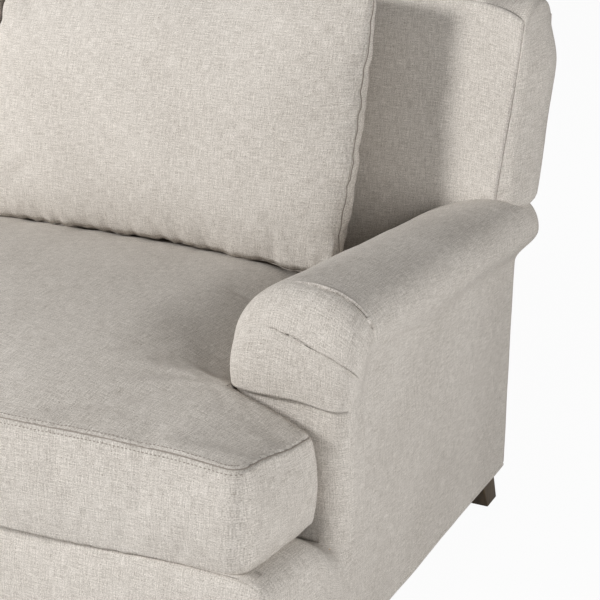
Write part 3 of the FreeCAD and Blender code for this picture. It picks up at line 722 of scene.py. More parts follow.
def fold_one(u):
    """Where the first fold crosses the nose, as a turn about the hinge line in degrees."""
    return between(FOLD_ONE, smooth(*FOLD_ONE_RISE, u))


def fold_two(u):
    return FOLD_TWO - FOLD_TWO_SLOPE * min(FOLD_TWO_RUN, max(0.0, u - FOLD_TWO_START))


def tuck_turn(u):
    """Where the nose is tucked under: level, and drooping towards the outside."""
    return -TUCK_DROOP * smooth(*TUCK_START, u)


def plain_rows(stretch, start, end, count, last, fold):
    """Rows of the nose between two places of a stretch, with no fold in them."""
    shares = [start + (end - start) * i / count for i in range(1, last + 1)]
    return [(stretch, share, share, fold, 0.0) for share in shares]


def nose_stations():
    """Rows of the nose: the stretch each lies in, its share of it flat and folded, the fold and its lift."""
    rows = []
    for fold, (span, lap) in enumerate(FOLD_SPANS):
        if fold:
            rows += plain_rows(1, rows[-1][1], 1 - span / NOSE_ARCS[1], NOSE_MIDDLE_ROWS,
                               NOSE_MIDDLE_ROWS - 1, 0)
        for flat, folded, lift in fold_rows(span, lap):
            before = flat < 0.0
            stretch = fold if before else fold + 1
            shares = [(1.0 if before else 0.0) + place / NOSE_ARCS[stretch] for place in (flat, folded)]
            rows.append((stretch, shares[0], shares[1], fold, lift))
    rows[0] = (0, 0.0, 0.0, 0, 0.0)
    rows += plain_rows(2, rows[-1][1], 1, NOSE_LOWER_ROWS, NOSE_LOWER_ROWS, 1)
    return rows


def arm_outline(radius):
    """The arm's plan from the hinge on its inside round the front to the hinge on its outside."""
    outline = []
    straight = HINGE_Y - ARM_FRONT - radius
    width = ARM_OUT - ARM_IN - 2 * radius
    quarter = [math.pi / 2 * i / CORNER_COLUMNS for i in range(CORNER_COLUMNS)]
    for i in range(SIDE_COLUMNS):
        outline.append((ARM_IN, HINGE_Y - straight * i / SIDE_COLUMNS))
    for t in quarter:
        outline.append((ARM_IN + radius * (1 - math.cos(t)), ARM_FRONT + radius * (1 - math.sin(t))))
    for i in range(FRONT_COLUMNS):
        outline.append((ARM_IN + radius + width * i / FRONT_COLUMNS, ARM_FRONT))
    for t in quarter:
        outline.append((ARM_OUT - radius * (1 - math.sin(t)), ARM_FRONT + radius * (1 - math.cos(t))))
    for i in range(SIDE_COLUMNS + 1):
        outline.append((ARM_OUT, HINGE_Y - straight * (1 - i / SIDE_COLUMNS)))
    return outline


def arm_run(side, inner, outer):
    """Lines from the hinge to the back: up the inside, over the roll and down the outside to the hem."""
    lines = []
    run = ARM_REAR - HINGE_Y
    count = round(run / RUN_STEP)
    for i in range(count + 1):
        y = HINGE_Y + run * i / count
        close = edge_round(ARM_REAR - y, ARM_END_ROUND)
        line = [((side * ARM_IN, y, z), -close) for z in reversed(inner[1:])]
        for x, rise in run_arch(i / count):
            z = HINGE_Z + rise
            line.append(((side * x, y, z), padding(side, x, y, z) - close - roll_crease(x, y, z)))
        for z in outer[1:]:
            line.append(((side * ARM_OUT, y, z), padding(side, ARM_OUT, y, z) - close - hem(z)))
        lines.append(line)
    return lines


def nose(side):
    """Lines of the nose: the roll's arch swung down about the hinge line, folded at the top and half way."""
    fades = [[smooth(start, full, u) * (1 - smooth(fall, end, u)) for u in columns]
             for start, full, fall, end in FOLD_FADES]
    turns = [[NOSE_TURN] * len(columns)]
    turns += [[fold(u) for u in columns] for fold in (fold_one, fold_two, tuck_turn)]
    arches = [nose_arch(i / NOSE_STEPS) for i in range(NOSE_STEPS + 1)]
    reach = HINGE_Y - arm_low[1]
    lines = []
    for stretch, flat, folded, fold, rise_share in nose_stations():
        line = []
        for j, u in enumerate(columns):
            share = flat + (folded - flat) * fades[fold][j]
            turn = math.radians(between((turns[stretch][j], turns[stretch + 1][j]), share))
            down = 1 - max(0.0, math.sin(turn))
            radius = 1 / ((abs(math.sin(turn)) / CREST_TOP) ** NOSE_SQUARE
                          + (abs(math.cos(turn)) / reach) ** NOSE_SQUARE) ** (1 / NOSE_SQUARE)
            x, rise = arches[round(down * NOSE_STEPS)][j]
            scaled = rise * radius / CREST_TOP
            y = HINGE_Y - scaled * math.cos(turn)
            z = HINGE_Z + scaled * math.sin(turn)
            bulge = NOSE_BULGE * math.sin(math.pi * share) * math.sin(math.pi * u) if stretch else 0.0
            lift = FOLD_LIFT * rise_share * fades[fold][j] + padding(side, x, y, z) + bulge
            line.append(((side * x, y, z), lift))
        lines.append(line)
    return lines


def front_wall(side, inner, nose_edge):
    """Lines of the arm's front under the nose, merged into the nose at the outer end."""
    lines = []
    for z in inner:
        widen = smooth(0.0, FRONT_WIDEN, HINGE_Z - z)
        line = []
        for j, (x, y) in enumerate(arm_outline(between((NOSE_ROUND, ARM_ROUND), widen))):
            merge = smooth(*MERGE_START, columns[j]) * (1 - smooth(0.0, MERGE_DEPTH, HINGE_Z - z))
            nose_x, nose_y, nose_z = nose_edge[j][0]
            point = (side * x + (nose_x - side * x) * merge, y + (nose_y - y) * merge,
                     z + (nose_z - HINGE_Z) * merge)
            line.append((point, padding(side, x, y, z) * smooth(0.0, HINGE_FADE, HINGE_Y - y)))
        lines.append(line)
    return lines


def ledge_side(side, levels):
    """Lines of the outside under the tuck, from the hinge on past the arm's front and along the ledge."""
    side_line = [y for x, y in arm_outline(ARM_ROUND)[-(SIDE_COLUMNS + CORNER_COLUMNS + 1):]]
    lines = []
    for level in levels:
        share = min(1.0, (TUCK_Z - level) / (TUCK_Z - HEM_Z))
        line = []
        for y in list(reversed(side_line)) + ledge_places:
            z = level
            if y < ARM_FRONT and z > HEM_Z:
                shoulder = ledge_top(y) - ARM_ROUND
                if share > LEDGE_EDGE_SHARE:
                    down = (share - LEDGE_EDGE_SHARE) / (1 - LEDGE_EDGE_SHARE)
                    z = shoulder + (HEM_Z - shoulder) * down
                else:
                    z = shoulder + ARM_ROUND * (1 - share / LEDGE_EDGE_SHARE)
            x = ARM_OUT - side_inset(y, z)
            end = edge_round(y - ledge_places[-1], LEDGE_END_ROUND)
            fade = smooth(0.0, HINGE_FADE, HINGE_Y - y) * smooth(0.0, HEM_FADE, z - COVER_Z)
            line.append(((side * (x - end), y, z), padding(side, x, y, z) * fade - hem(z)))
        lines.append(line)
    return lines


def ledge_cover(side):
    """Lines of the ledge's top, from its rounded outer edge in to the seat."""
    lines = []
    for y in [ARM_FRONT] + ledge_places:
        end = ARM_OUT - ARM_ROUND - edge_round(y - ledge_places[-1], LEDGE_END_ROUND)
        across = [end + (ARM_IN - end) * i / LEDGE_COLUMNS for i in range(LEDGE_COLUMNS + 1)]
        lines.append([((side * x, y, ledge_top(y)), 0.0) for x in across])
    return lines


def arm(side):
    """One arm: the run of the roll, the nose, the front under it and the ledge, sewn into one cover."""
    inner = wall_levels(HINGE_Z, TUCK_Z)
    outer = inner + wall_levels(TUCK_Z, HEM_Z)[1:] + [COVER_Z + rise for rise in HEM_LEVELS]
    over_nose = nose(side)
    under_nose = front_wall(side, inner, over_nose[-1])
    skin = Skin()
    for lines in (arm_run(side, inner, outer), over_nose, [over_nose[-1], under_nose[0]], under_nose,
                  ledge_side(side, outer[len(inner) - 1:]), ledge_cover(side)):
        skin.strip(lines)
    return skin.piece(("right" if side > 0 else "left") + "_arm", thickness=CLOTH_T)


linen_cover = linen("linen")
for name, side in (("left", -1), ("right", 1)):
    made = arm(side)
    settle(made, linen_cover, "frame",
           [name + part for part in ("_arm_cover", "_arm_front", "_outside_arm", "_ledge")])


# Back
# The inside back, its boxed sides and top, and the outside back are cut as separate panels of linen
# and sewn together along their edges, over a padded frame that sweeps back above the arms.
RAKE = math.radians(13.0)
PANEL_T = 2.0
PANEL_IN = 1.0
SEAM_ROUND = 5.0
SEAM_IN = 4.0
SEAM_DEEP = 7.0
SEAM_RISE = (-2.0, 8.0)
DRAWN_IN = 12.0
DRAWN_RISE = 70.0
DRAWN_TOP = 20.0
INSIDE_STEPS = (12.0, 14.0)
INSIDE_SINK = 4.0
INSIDE_SINK_RUN = 60.0
INSIDE_UNREST = (140.0, 1.2)
SIDE_BULGE = (42.0, 31.0)
SIDE_BULGE_LEVELS = (540.0, 680.0)
SIDE_BULGE_START = (495.0, 550.0)
SIDE_BULGE_LOSS = 0.75
SIDE_LOSS_START = 0.75
SIDE_FOOT = 2.0
SIDE_STEPS = (3.0, 1.8)
SIDE_UNREST = (90.0, 1.2)
EDGE_DEPTHS = (0.0, 0.4, 1.1, 2.2, 4.0, 7.0)
EDGE_HEIGHTS = (0.0, 0.15, 0.4, 0.8, 1.4, 2.2, 3.2)
MITRE_RISE = 33.0
TOP_RISE = 38.0
TOP_REACH = 46.0
TOP_CROWN = 10.0
TOP_END = 90.0
TOP_DEPTH = 120.0
TOP_STEPS = (3.5, 14.0)
TOP_UNREST = (120.0, 1.2)
REAR_FOOT_IN = 12.0
REAR_SWING = (0.0, 45.0, 100.0, 118.0, 122.0, 118.0)
REAR_LEVELS = (0.0, 100.0, 200.0, 270.0, 300.0, 370.0)
REAR_IN = 5.0
REAR_NECK = 40.0
REAR_WIDEN = 80.0
REAR_TOP_START = 0.6
REAR_STEPS = (14.0, 20.0)
REAR_UNREST = (160.0, 1.2)
REAR_FADE = 30.0
inside_low, inside_high = node_box("inside_back")
FACE_LOW_Y = inside_low[1]
FACE_LOW_Z = inside_low[2]
BACK_TOP = inside_high[2]
REAR_FOOT_Y = node_box("outside_back")[0][1] + REAR_FOOT_IN
NOTCH_Z = outside_high[2]


def face_y(z):
    return FACE_LOW_Y + (z - FACE_LOW_Z) * math.tan(RAKE)


def half_width(z):
    """Half of the back's width: drawn in where it meets the arms."""
    return ARM_OUT - PANEL_IN - DRAWN_IN * (1 - smooth(NOTCH_Z + DRAWN_RISE, BACK_TOP - DRAWN_TOP, z))


def rear_y(z):
    """The swept outside back: upright behind the base, then a smooth curve above the arms."""
    rise = z - NOTCH_Z
    if rise <= 0:
        return REAR_FOOT_Y
    last = len(REAR_LEVELS) - 2
    k = next((k for k in range(last) if rise <= REAR_LEVELS[k + 1]), last)
    share = (rise - REAR_LEVELS[k]) / (REAR_LEVELS[k + 1] - REAR_LEVELS[k])
    before = REAR_SWING[max(0, k - 1)]
    start = REAR_SWING[k]
    end = REAR_SWING[k + 1]
    after = REAR_SWING[min(last + 1, k + 2)]
    curve = 2 * start + (end - before) * share
    curve += (2 * before - 5 * start + 4 * end - after) * share ** 2
    curve += (3 * start - before - 3 * end + after) * share ** 3
    return REAR_FOOT_Y + curve / 2


def mitre_z(share):
    """Height of the seam between side and top, from the front corner to the rear one."""
    return BACK_TOP + MITRE_RISE * math.sin(math.pi * share) ** 0.8


def top_seam_z(x):
    """The seam along the top: drawn down at the corners."""
    return BACK_TOP + TOP_RISE * (1 - math.exp(-max(0.0, ARM_OUT - abs(x)) / TOP_REACH))


def seam_turn(distance):
    """Share of its depth that a panel has turned in at a distance from its seam."""
    return edge_round(distance, SEAM_ROUND) / SEAM_ROUND


def shares(step, fine):
    """Places from 0 to 1, with the step and the fine places at the ends in hundredths."""
    return [place / 100.0 for place in spaced(100.0, step, fine)]


def sewn_panel(name, lines):
    """A panel of linen from lines of points, each point with its lift."""
    skin = Skin()
    skin.strip(lines)
    return skin.piece(name, thickness=PANEL_T)


def inside_panel():
    lines = []
    height = BACK_TOP - SEAM_IN - FACE_LOW_Z
    for up in spaced(height, INSIDE_STEPS[0]):
        line = []
        wide = half_width(FACE_LOW_Z + up) - SEAM_IN
        for across in spaced(2 * wide, INSIDE_STEPS[1], like=2 * ARM_OUT):
            x = across - wide
            z = FACE_LOW_Z + up * (top_seam_z(x) - SEAM_IN - FACE_LOW_Z) / height
            edge = min(across, 2 * wide - across, height - up)
            sink = INSIDE_SINK * (1 - smooth(0.0, INSIDE_SINK_RUN, edge))
            y = face_y(z) + PANEL_IN + SEAM_DEEP * seam_turn(edge) + sink
            line.append(((x, y, z), unrest(x, 0.0, z, *INSIDE_UNREST)))
        lines.append(line)
    return sewn_panel("inside_back_panel", lines)


def side_panel(side):
    lines = []
    low_z = NOTCH_Z + SIDE_FOOT
    for share in shares(SIDE_STEPS[0], EDGE_DEPTHS):
        line = []
        for k in shares(SIDE_STEPS[1], EDGE_HEIGHTS):
            z = low_z + (mitre_z(share) - low_z) * k
            front = face_y(min(z, BACK_TOP)) + PANEL_IN + SEAM_DEEP
            depth = rear_y(min(z, BACK_TOP)) - SEAM_DEEP - front
            y = front + depth * share
            edge = min(share * depth, (1 - share) * depth, mitre_z(share) - z)
            swell = between(SIDE_BULGE, smooth(*SIDE_BULGE_LEVELS, z)) * math.sin(math.pi * share) ** 0.6
            swell *= 1 - SIDE_BULGE_LOSS * smooth(SIDE_LOSS_START, 1.0, k)
            swell *= smooth(*SIDE_BULGE_START, z)
            x = half_width(z) - SEAM_IN * seam_turn(edge) + swell * smooth(*SEAM_RISE, edge)
            line.append(((side * x, y, z), unrest(side * x, y, z, *SIDE_UNREST)))
        lines.append(line)
    return sewn_panel(("right" if side > 0 else "left") + "_back_boxing", lines)


def top_panel():
    lines = []
    wide = half_width(BACK_TOP) - PANEL_IN
    for share in shares(TOP_STEPS[0], EDGE_DEPTHS):
        line = []
        for across in spaced(2 * wide, TOP_STEPS[1]):
            x = across - wide
            middle = top_seam_z(x) + TOP_CROWN * math.sin(math.pi * share) ** 0.75
            z = middle + (mitre_z(share) - middle) * smooth(TOP_END, 0.0, wide - abs(x))
            front = face_y(top_seam_z(x)) + PANEL_IN + SEAM_DEEP
            y = front + (rear_y(BACK_TOP) - SEAM_DEEP - front) * share
            edge = min(across, 2 * wide - across, share * TOP_DEPTH, (1 - share) * TOP_DEPTH)
            line.append(((x, y, z - SEAM_IN * seam_turn(edge)), unrest(x, y, z, *TOP_UNREST)))
        lines.append(line)
    return sewn_panel("back_top_boxing", lines)


def outside_panel():
    lines = []
    height = BACK_TOP - COVER_Z
    for up in spaced(height, REAR_STEPS[0]):
        line = []
        z = COVER_Z + up
        wide = half_width(z) if z > NOTCH_Z + REAR_NECK else ARM_OUT - PANEL_IN
        wide += (ARM_OUT - REAR_IN - wide) * (1 - smooth(NOTCH_Z, NOTCH_Z + REAR_WIDEN, z))
        for across in spaced(2 * wide, REAR_STEPS[1], like=2 * ARM_OUT):
            x = across - wide
            edge = min(across, 2 * wide - across, up, height - up)
            rise = (top_seam_z(x) - BACK_TOP) * smooth(REAR_TOP_START, 1.0, up / height)
            y = rear_y(z) - PANEL_IN - edge_round(edge, SEAM_ROUND)
            line.append(((x, y, z + rise), unrest(x, 0.0, z, *REAR_UNREST) * smooth(0.0, REAR_FADE, edge)))
        lines.append(line)
    return sewn_panel("outside_back_panel", lines)


for panel, node in ((inside_panel(), "inside_back"), (top_panel(), "back_top_cover"),
                    (outside_panel(), "outside_back"), (side_panel(-1), "left_back_side"),
                    (side_panel(1), "right_back_side")):
    settle(panel, linen_cover, "frame", [node])


# Front border
# A padded band of linen along the front of the base, rolled over its top edge under the seat cushion
# and turned under the frame, with an upright seam at each front corner.
BORDER_AHEAD = 30.0
BORDER_ROUND = 16.0
BORDER_END = 8.0
BORDER_SHORT = 0.5
BORDER_TURN_UNDER = ((1.5, 1.0), (6.0, 0.0), (20.0, 0.0))
BORDER_RISE_RUN = (130.0, 30.0)
BORDER_FLAT = 70.0
BORDER_PLAIN = 90.0
BORDER_STEP = 14.0
BORDER_TURN_STEPS = 8
BORDER_FACE_STEPS = 22
BORDER_UNREST = (120.0, 1.5)


def border():
    low, high = node_box("front_border")
    face = BASE_FRONT - BORDER_AHEAD
    shoulder = high[2] - BORDER_ROUND
    profile = [(high[1], high[2])]
    for i in range(BORDER_TURN_STEPS + 1):
        turn = math.pi / 2 * i / BORDER_TURN_STEPS
        profile.append((face + BORDER_ROUND * (1 - math.sin(turn)),
                        shoulder + BORDER_ROUND * math.cos(turn)))
    for i in range(1, BORDER_FACE_STEPS):
        share = i / BORDER_FACE_STEPS
        belly = (face - low[1]) * math.sin(math.pi * share) ** 0.8
        profile.append((face - belly, shoulder + (low[2] - shoulder) * share))
    profile += [(face + back, low[2] + rise) for back, rise in BORDER_TURN_UNDER]
    wide = high[0] - BORDER_SHORT
    lines = []
    for across in spaced(2 * wide, BORDER_STEP):
        x = across - wide
        side = min(across, 2 * wide - across)
        end = edge_round(side, BORDER_END)
        rise = LEDGE_FRONT_RISE * smooth(wide - BORDER_RISE_RUN[0], wide - BORDER_RISE_RUN[1], abs(x))
        fall = edge_round(side, ARM_ROUND) - rise
        flat = 1 - smooth(0.0, BORDER_FLAT, side)
        lines.append([((x, y + end + max(0.0, face - y) * flat,
                        z - fall * smooth(low[2] + BORDER_PLAIN, high[2], z)),
                       unrest(x, y, z, *BORDER_UNREST)) for y, z in profile])
    return sewn_panel("front_border_panel", lines)


front = border()
settle(front, linen_cover, "frame", ["front_border"])


# Seat cushion
# One boxed bench cushion over a foam core, with an ear in front of each arm. The top and the boxing are
# joined by a seam that is stitched down along both sides on the front.
SEAT_GAP = 4.0
SEAT_IN = 1.3
SEAT_SEAM = 142.0
SEAT_SWELL = 8.0
CROWN_AT = 0.56
REAR_CROWN = 0.35
EAR_DROP = 14.0
EAR_LIFT = 5.0
EAR_LIFT_START = (0.72, 0.95)
EAR_LIFT_Y = (-455.0, -480.0)
EAR_DROOP = 14.0
EAR_DROOP_END = 8.0
EAR_DROOP_Y = (-460.0, -400.0)
EAR_ROUND = 20.0
EAR_CORNER = 26.0
EAR_CORNER_RUN = 20.0
FRONT_SAG = 7.0
FRONT_SAG_Y = (-440.0, -470.0)
FRONT_BOW = 23.0
FRONT_BOW_START = 0.55
NECK_ROUND = 12.0
REAR_ROUND = 26.0
SIDE_SINK = 37.0
SIDE_SINK_Y = (-15.0, 90.0)
SIDE_SINK_X = (-165.0, 25.0)
WRINKLE = 3.4
WRINKLE_COUNT = 11.0
WRINKLE_TURN = 0.7
WRINKLE_START = (8.0, 45.0)
WRINKLE_REACH = 75.0
SEAM_STEP = 7.0
TOP_NET = (12.0, 8.0)
BOTTOM_NET = (30.0, 16.0)
BOXING_ROWS = 20
MAP_APART = 2.0
HELD_UNDER = 2.0
SEAT_PRESSURE = 1.6
SEAT_FRAMES = 16
SEAT_CAP = 7.0
SEAT_GROW = 0.004
CAP_INWARD = 3.0
CLOTH = {"quality": 6, "mass": 0.3, "tension_stiffness": 25.0, "compression_stiffness": 25.0,
         "shear_stiffness": 12.0, "bending_stiffness": 1.2, "tension_damping": 12.0,
         "compression_damping": 12.0, "air_damping": 4.0, "use_pressure": True}
SEAM_SINK = 3.6
SEAM_DRAW = 0.6
# Radius and depth of the dark seam cords, which are painted shade in the seams.
CORD_R = 0.95
CORD_DEEP = 1.6
CORD_SIDES = 6
STITCH_L = 3.0
STITCH_W = 1.3
STITCH_PITCH = 5.2
STITCH_GAP = 7.0
STITCH_FORM = ((-0.5, 0.45), (-0.3, 1.0), (0.3, 1.0), (0.5, 0.45))
STITCH_FLAT = (0.55, 0.45)
# Colours of the stitching thread, also given to the seam cords, where they are painted shade.
THREAD_AND_SEAM_SHADE_DARK = (0.21, 0.18, 0.15, 1.0)
THREAD_AND_SEAM_SHADE_LIGHT = (0.38, 0.34, 0.30, 1.0)
THREAD_TWIST = 0.0009
seat_low, seat_high = node_box("seat_cushion")
SEAT_SIDE = ARM_IN - SEAT_GAP
EAR_REAR = arm_low[1] - SEAT_GAP
EAR_SIDE = seat_high[0] - SEAT_IN
SEAT_FRONT = seat_low[1] + SEAT_IN
SEAT_REAR = seat_high[1] - SEAT_IN
SEAT_BOTTOM = seat_low[2]
SEAM_Z = SEAT_BOTTOM + SEAT_SEAM
SEAT_CROWN = seat_high[2] - SEAM_Z


def corner(x, y, into, out, radius):
    """Points of a quarter turn at a corner, from the side it comes in by to the side it leaves by."""
    points = []
    count = max(4, round(radius * math.pi / 2 / SEAM_STEP) + 2)
    for i in range(count + 1):
        turn = math.pi / 2 * i / count
        back = radius * (1 - math.sin(turn))
        ahead = radius * (1 - math.cos(turn))
        points.append((x - into[0] * back + out[0] * ahead, y - into[1] * back + out[1] * ahead))
    return points


def seat_outline():
    """The T-shaped seam line, right half then its mirror image, at even steps."""
    right = corner(EAR_SIDE, SEAT_FRONT, (1, 0), (0, 1), EAR_ROUND)
    right += corner(EAR_SIDE, EAR_REAR, (0, 1), (-1, 0), NECK_ROUND)
    right += corner(SEAT_SIDE, EAR_REAR, (-1, 0), (0, 1), NECK_ROUND)
    right += corner(SEAT_SIDE, SEAT_REAR, (0, 1), (-1, 0), REAR_ROUND)
    loop = right + [(-x, y) for x, y in reversed(right)]
    filled = []
    for here, after in zip(loop, loop[1:] + loop[:1]):
        count = max(1, round(math.dist(here, after) / SEAM_STEP))
        for i in range(count):
            x = here[0] + (after[0] - here[0]) * i / count
            y = here[1] + (after[1] - here[1]) * i / count
            bow = smooth(FRONT_BOW_START, 1.0, abs(x) / EAR_SIDE) * smooth(EAR_REAR, SEAT_FRONT, y)
            filled.append((x, y + FRONT_BOW * bow))
    return filled


def seat_height(x, y):
    """Height of the top panel over the seam: full in the middle, low at the ears, sunk beside the arms."""
    across = min(1.0, abs(x) / EAR_SIDE)
    depth = (y - SEAT_FRONT) / (SEAT_REAR - SEAT_FRONT)
    if depth < CROWN_AT:
        rise = 1 - (1 - depth / CROWN_AT) ** 2.1
    else:
        rise = 1 - (1 - REAR_CROWN) * ((depth - CROWN_AT) / (1 - CROWN_AT)) ** 2
    beside = smooth(EAR_REAR + SIDE_SINK_Y[0], EAR_REAR + SIDE_SINK_Y[1], y)
    near_arm = smooth(SEAT_SIDE + SIDE_SINK_X[0], SEAT_SIDE + SIDE_SINK_X[1], min(abs(x), SEAT_SIDE))
    out = min(1.0, max(0.0, (abs(x) - SEAT_SIDE) / (EAR_SIDE - SEAT_SIDE)))
    sunk = SIDE_SINK * beside * near_arm
    sunk += EAR_CORNER * out ** 1.5 * smooth(SEAT_FRONT + EAR_CORNER_RUN, EAR_REAR, y)
    turn = math.atan2(EAR_REAR - y, SEAT_SIDE - abs(x))
    away = math.hypot(EAR_REAR - y, SEAT_SIDE - abs(x))
    drawn = WRINKLE * math.sin(WRINKLE_COUNT * turn + WRINKLE_TURN)
    drawn *= smooth(*WRINKLE_START, away) * math.exp(-away / WRINKLE_REACH)
    return SEAT_CROWN * (1 - across ** 2.4) * rise - EAR_DROP * across ** 4 - sunk + drawn


def inside_distance(x, y):
    """Distance from a place on the top panel to the nearest seam."""
    side = EAR_SIDE if y < EAR_REAR else SEAT_SIDE
    gaps = [side - abs(x), y - SEAT_FRONT, SEAT_REAR - y]
    if abs(x) > SEAT_SIDE:
        gaps.append(EAR_REAR - y)
    elif y < EAR_REAR:
        gaps.append(math.hypot(SEAT_SIDE - abs(x), EAR_REAR - y))
    return min(gaps)


def panel_mesh(outline, step, margin):
    """A flat panel inside an outline: its edge points first, then a triangular net, and the faces."""
    xs = [p[0] for p in outline]
    ys = [p[1] for p in outline]
    points = [Vector(p) for p in outline]
    rise = step * math.sqrt(3) / 2
    row = 0
    y = min(ys) + margin
    while y < max(ys) - margin / 2:
        x = min(xs) + margin + (step / 2 if row % 2 else 0.0)
        while x < max(xs) - margin / 2:
            if inside_distance(x, y) > margin * 0.8:
                points.append(Vector((x, y)))
            x += step
        y += rise
        row += 1
    count = len(outline)
    edges = [(i, (i + 1) % count) for i in range(count)]
    verts, _, faces, _, _, _ = delaunay_2d_cdt(points, edges, [], 1, 0.0001)
    return [(v.x, v.y) for v in verts], [list(f) for f in faces]


def panel_faces(form, cloth_map, verts, places, faces, apart):
    """Fills a flat panel and lays its threads out, apart from the other panels' on the cloth's map."""
    for face in faces:
        made = form.faces.new([verts[i] for i in face])
        for loop, i in zip(made.loops, face):
            loop[cloth_map].uv = (places[i][0] * MM, apart + places[i][1] * MM)


def boxing_point(outline, i, share):
    """A point of the boxing under a seam point, at a share of the way down: swelled out in the middle."""
    x, y = outline[i]
    before = outline[i - 1]
    after = outline[(i + 1) % len(outline)]
    tangent = Vector((after[0] - before[0], after[1] - before[1])).normalized()
    swell = SEAT_SWELL * (math.sin(math.pi * share) ** 0.7 + 0.3 * share)
    high = SEAM_Z + seat_height(x, y)
    low = SEAT_BOTTOM + EAR_LIFT * smooth(*EAR_LIFT_START, abs(x) / EAR_SIDE) * smooth(*EAR_LIFT_Y, y)
    low -= EAR_DROOP * smooth(SEAT_SIDE, EAR_SIDE - EAR_DROOP_END, abs(x)) * smooth(*EAR_DROOP_Y, y)
    low -= FRONT_SAG * smooth(*FRONT_SAG_Y, y)
    return ((x + tangent.y * swell) * MM, (y - tangent.x * swell) * MM, (high + (low - high) * share) * MM)


def seat_cover():
    """The cover: a top net that ends in the seam, the boxing under it all round and a plain bottom."""
    outline = seat_outline()
    count = len(outline)
    form = bmesh.new()
    cloth_map = form.loops.layers.uv.new("cloth")
    flat, faces = panel_mesh(outline, *TOP_NET)
    top = [form.verts.new((x * MM, y * MM, (SEAM_Z + seat_height(x, y)) * MM)) for x, y in flat]
    panel_faces(form, cloth_map, top, flat, faces, 0.0)
    reach = [0.0]
    for here, after in zip(outline, outline[1:] + outline[:1]):
        reach.append(reach[-1] + math.dist(here, after))
    rows = [top[:count]]
    for k in range(1, BOXING_ROWS + 1):
        rows.append([form.verts.new(boxing_point(outline, i, k / BOXING_ROWS)) for i in range(count)])
    threads = [[(r * MM, MAP_APART + k / BOXING_ROWS * SEAT_SEAM * MM) for r in reach]
               for k in range(BOXING_ROWS + 1)]
    net_faces(form, cloth_map, [row + row[:1] for row in rows], threads)
    coarse, faces = panel_mesh(outline, *BOTTOM_NET)
    low = list(rows[-1])
    low += [form.verts.new((x * MM, y * MM, SEAT_BOTTOM * MM)) for x, y in coarse[count:]]
    panel_faces(form, cloth_map, low, coarse, faces, 2 * MAP_APART)
    bmesh.ops.recalc_face_normals(form, faces=form.faces)
    piece = new_piece(form, "seat_cushion_cover")
    seam = list(range(count))
    piece.vertex_groups.new(name="sewn").add(seam, 1.0, "REPLACE")
    fixed = [vert.index for vert in piece.data.vertices if vert.co.z < (SEAT_BOTTOM + HELD_UNDER) * MM]
    piece.vertex_groups.new(name="held").add(fixed + seam, 1.0, "REPLACE")
    return piece, seam


def swell_cloth(piece, pressure, frames, cap, rest=None, grow=0.0):
    """Lets a cover fill out under pressure as cloth, held at its seam.
    The cap limits how far a point goes, and it goes less far inwards."""
    scene = bpy.context.scene
    scene.frame_start = 1
    scene.frame_end = frames
    scene.frame_set(1)
    cloth = piece.modifiers.new("filling_out", "CLOTH")
    settings = cloth.settings
    for key, value in CLOTH.items():
        setattr(settings, key, value)
    settings.uniform_pressure_force = pressure
    settings.shrink_min = -grow
    settings.effector_weights.gravity = 0.0
    cloth.collision_settings.use_collision = False
    cloth.collision_settings.use_self_collision = False
    cloth.point_cache.frame_start = 1
    cloth.point_cache.frame_end = frames
    settings.vertex_group_mass = "held"
    if rest:
        settings.rest_shape_key = rest
    start = [v.co.copy() for v in piece.data.vertices]
    outward = [v.normal.copy() for v in piece.data.vertices]
    for number in range(1, frames + 1):
        scene.frame_set(number)
    shaped = piece.evaluated_get(bpy.context.evaluated_depsgraph_get()).data
    ends = [v.co.copy() for v in shaped.vertices]
    piece.modifiers.remove(cloth)
    scene.frame_set(1)
    if piece.data.shape_keys:
        piece.shape_key_clear()
    for vert, first, last, normal in zip(piece.data.vertices, start, ends, outward):
        move = last - first
        sunk = -CAP_INWARD * MM - move.dot(normal)
        if sunk > 0:
            move += normal * sunk
        if move.length > cap * MM:
            move *= cap * MM / move.length
        vert.co = first + move


def sharpen(piece, loop, crease):
    """Keeps a seam crisp when the cover is smoothed: a crease along a closed loop of vertices."""
    data = piece.data
    pairs = {frozenset(pair) for pair in zip(loop, loop[1:] + loop[:1])}
    layer = data.attributes.new("crease_edge", "FLOAT", "EDGE")
    for edge in data.edges:
        if frozenset(edge.vertices) in pairs:
            layer.data[edge.index].value = crease


def group_weight(vert, group):
    return max([entry.weight for entry in vert.groups if entry.group == group], default=0.0)


def sink_seam(piece, depth, draw):
    """Draws a seam in to a narrow groove, with the cloth on both sides pulled up to it."""
    sewn = piece.vertex_groups["sewn"].index
    seam_verts = []
    beside_seam = []
    for vert in piece.data.vertices:
        weight = group_weight(vert, sewn)
        if weight > 0.99:
            seam_verts.append((vert, vert.co.copy(), vert.normal.copy()))
        elif weight > 0.2:
            beside_seam.append(vert)
    nearest = KDTree(len(seam_verts))
    for i, (vert, place, normal) in enumerate(seam_verts):
        nearest.insert(place, i)
        vert.co = place - normal * depth * MM
    nearest.balance()
    for vert in beside_seam:
        vert.co = vert.co.lerp(nearest.find(vert.co)[0], draw)


def cord_ring(form, middle, first, second):
    """A ring of points round a cord, with its two half widths given as vectors."""
    turns = [2 * math.pi * k / CORD_SIDES for k in range(CORD_SIDES)]
    return [form.verts.new(middle + first * math.cos(t) + second * math.sin(t)) for t in turns]


def join_rings(form, first, second):
    for k in range(CORD_SIDES):
        after = (k + 1) % CORD_SIDES
        form.faces.new([first[k], first[after], second[after], second[k]])


def stitch(form, middle, along, normal):
    """One stitch of thread: a small rounded bar that lies on the cloth."""
    side = along.cross(normal).normalized()
    rings = []
    for place, size in STITCH_FORM:
        centre = middle + along * (place * STITCH_L * MM)
        width = STITCH_W * size * MM
        rings.append(cord_ring(form, centre, side * (STITCH_FLAT[0] * width),
                               normal * (STITCH_FLAT[1] * width)))
    for first, second in zip(rings, rings[1:]):
        join_rings(form, first, second)
    form.faces.new(list(reversed(rings[0])))
    form.faces.new(rings[-1])


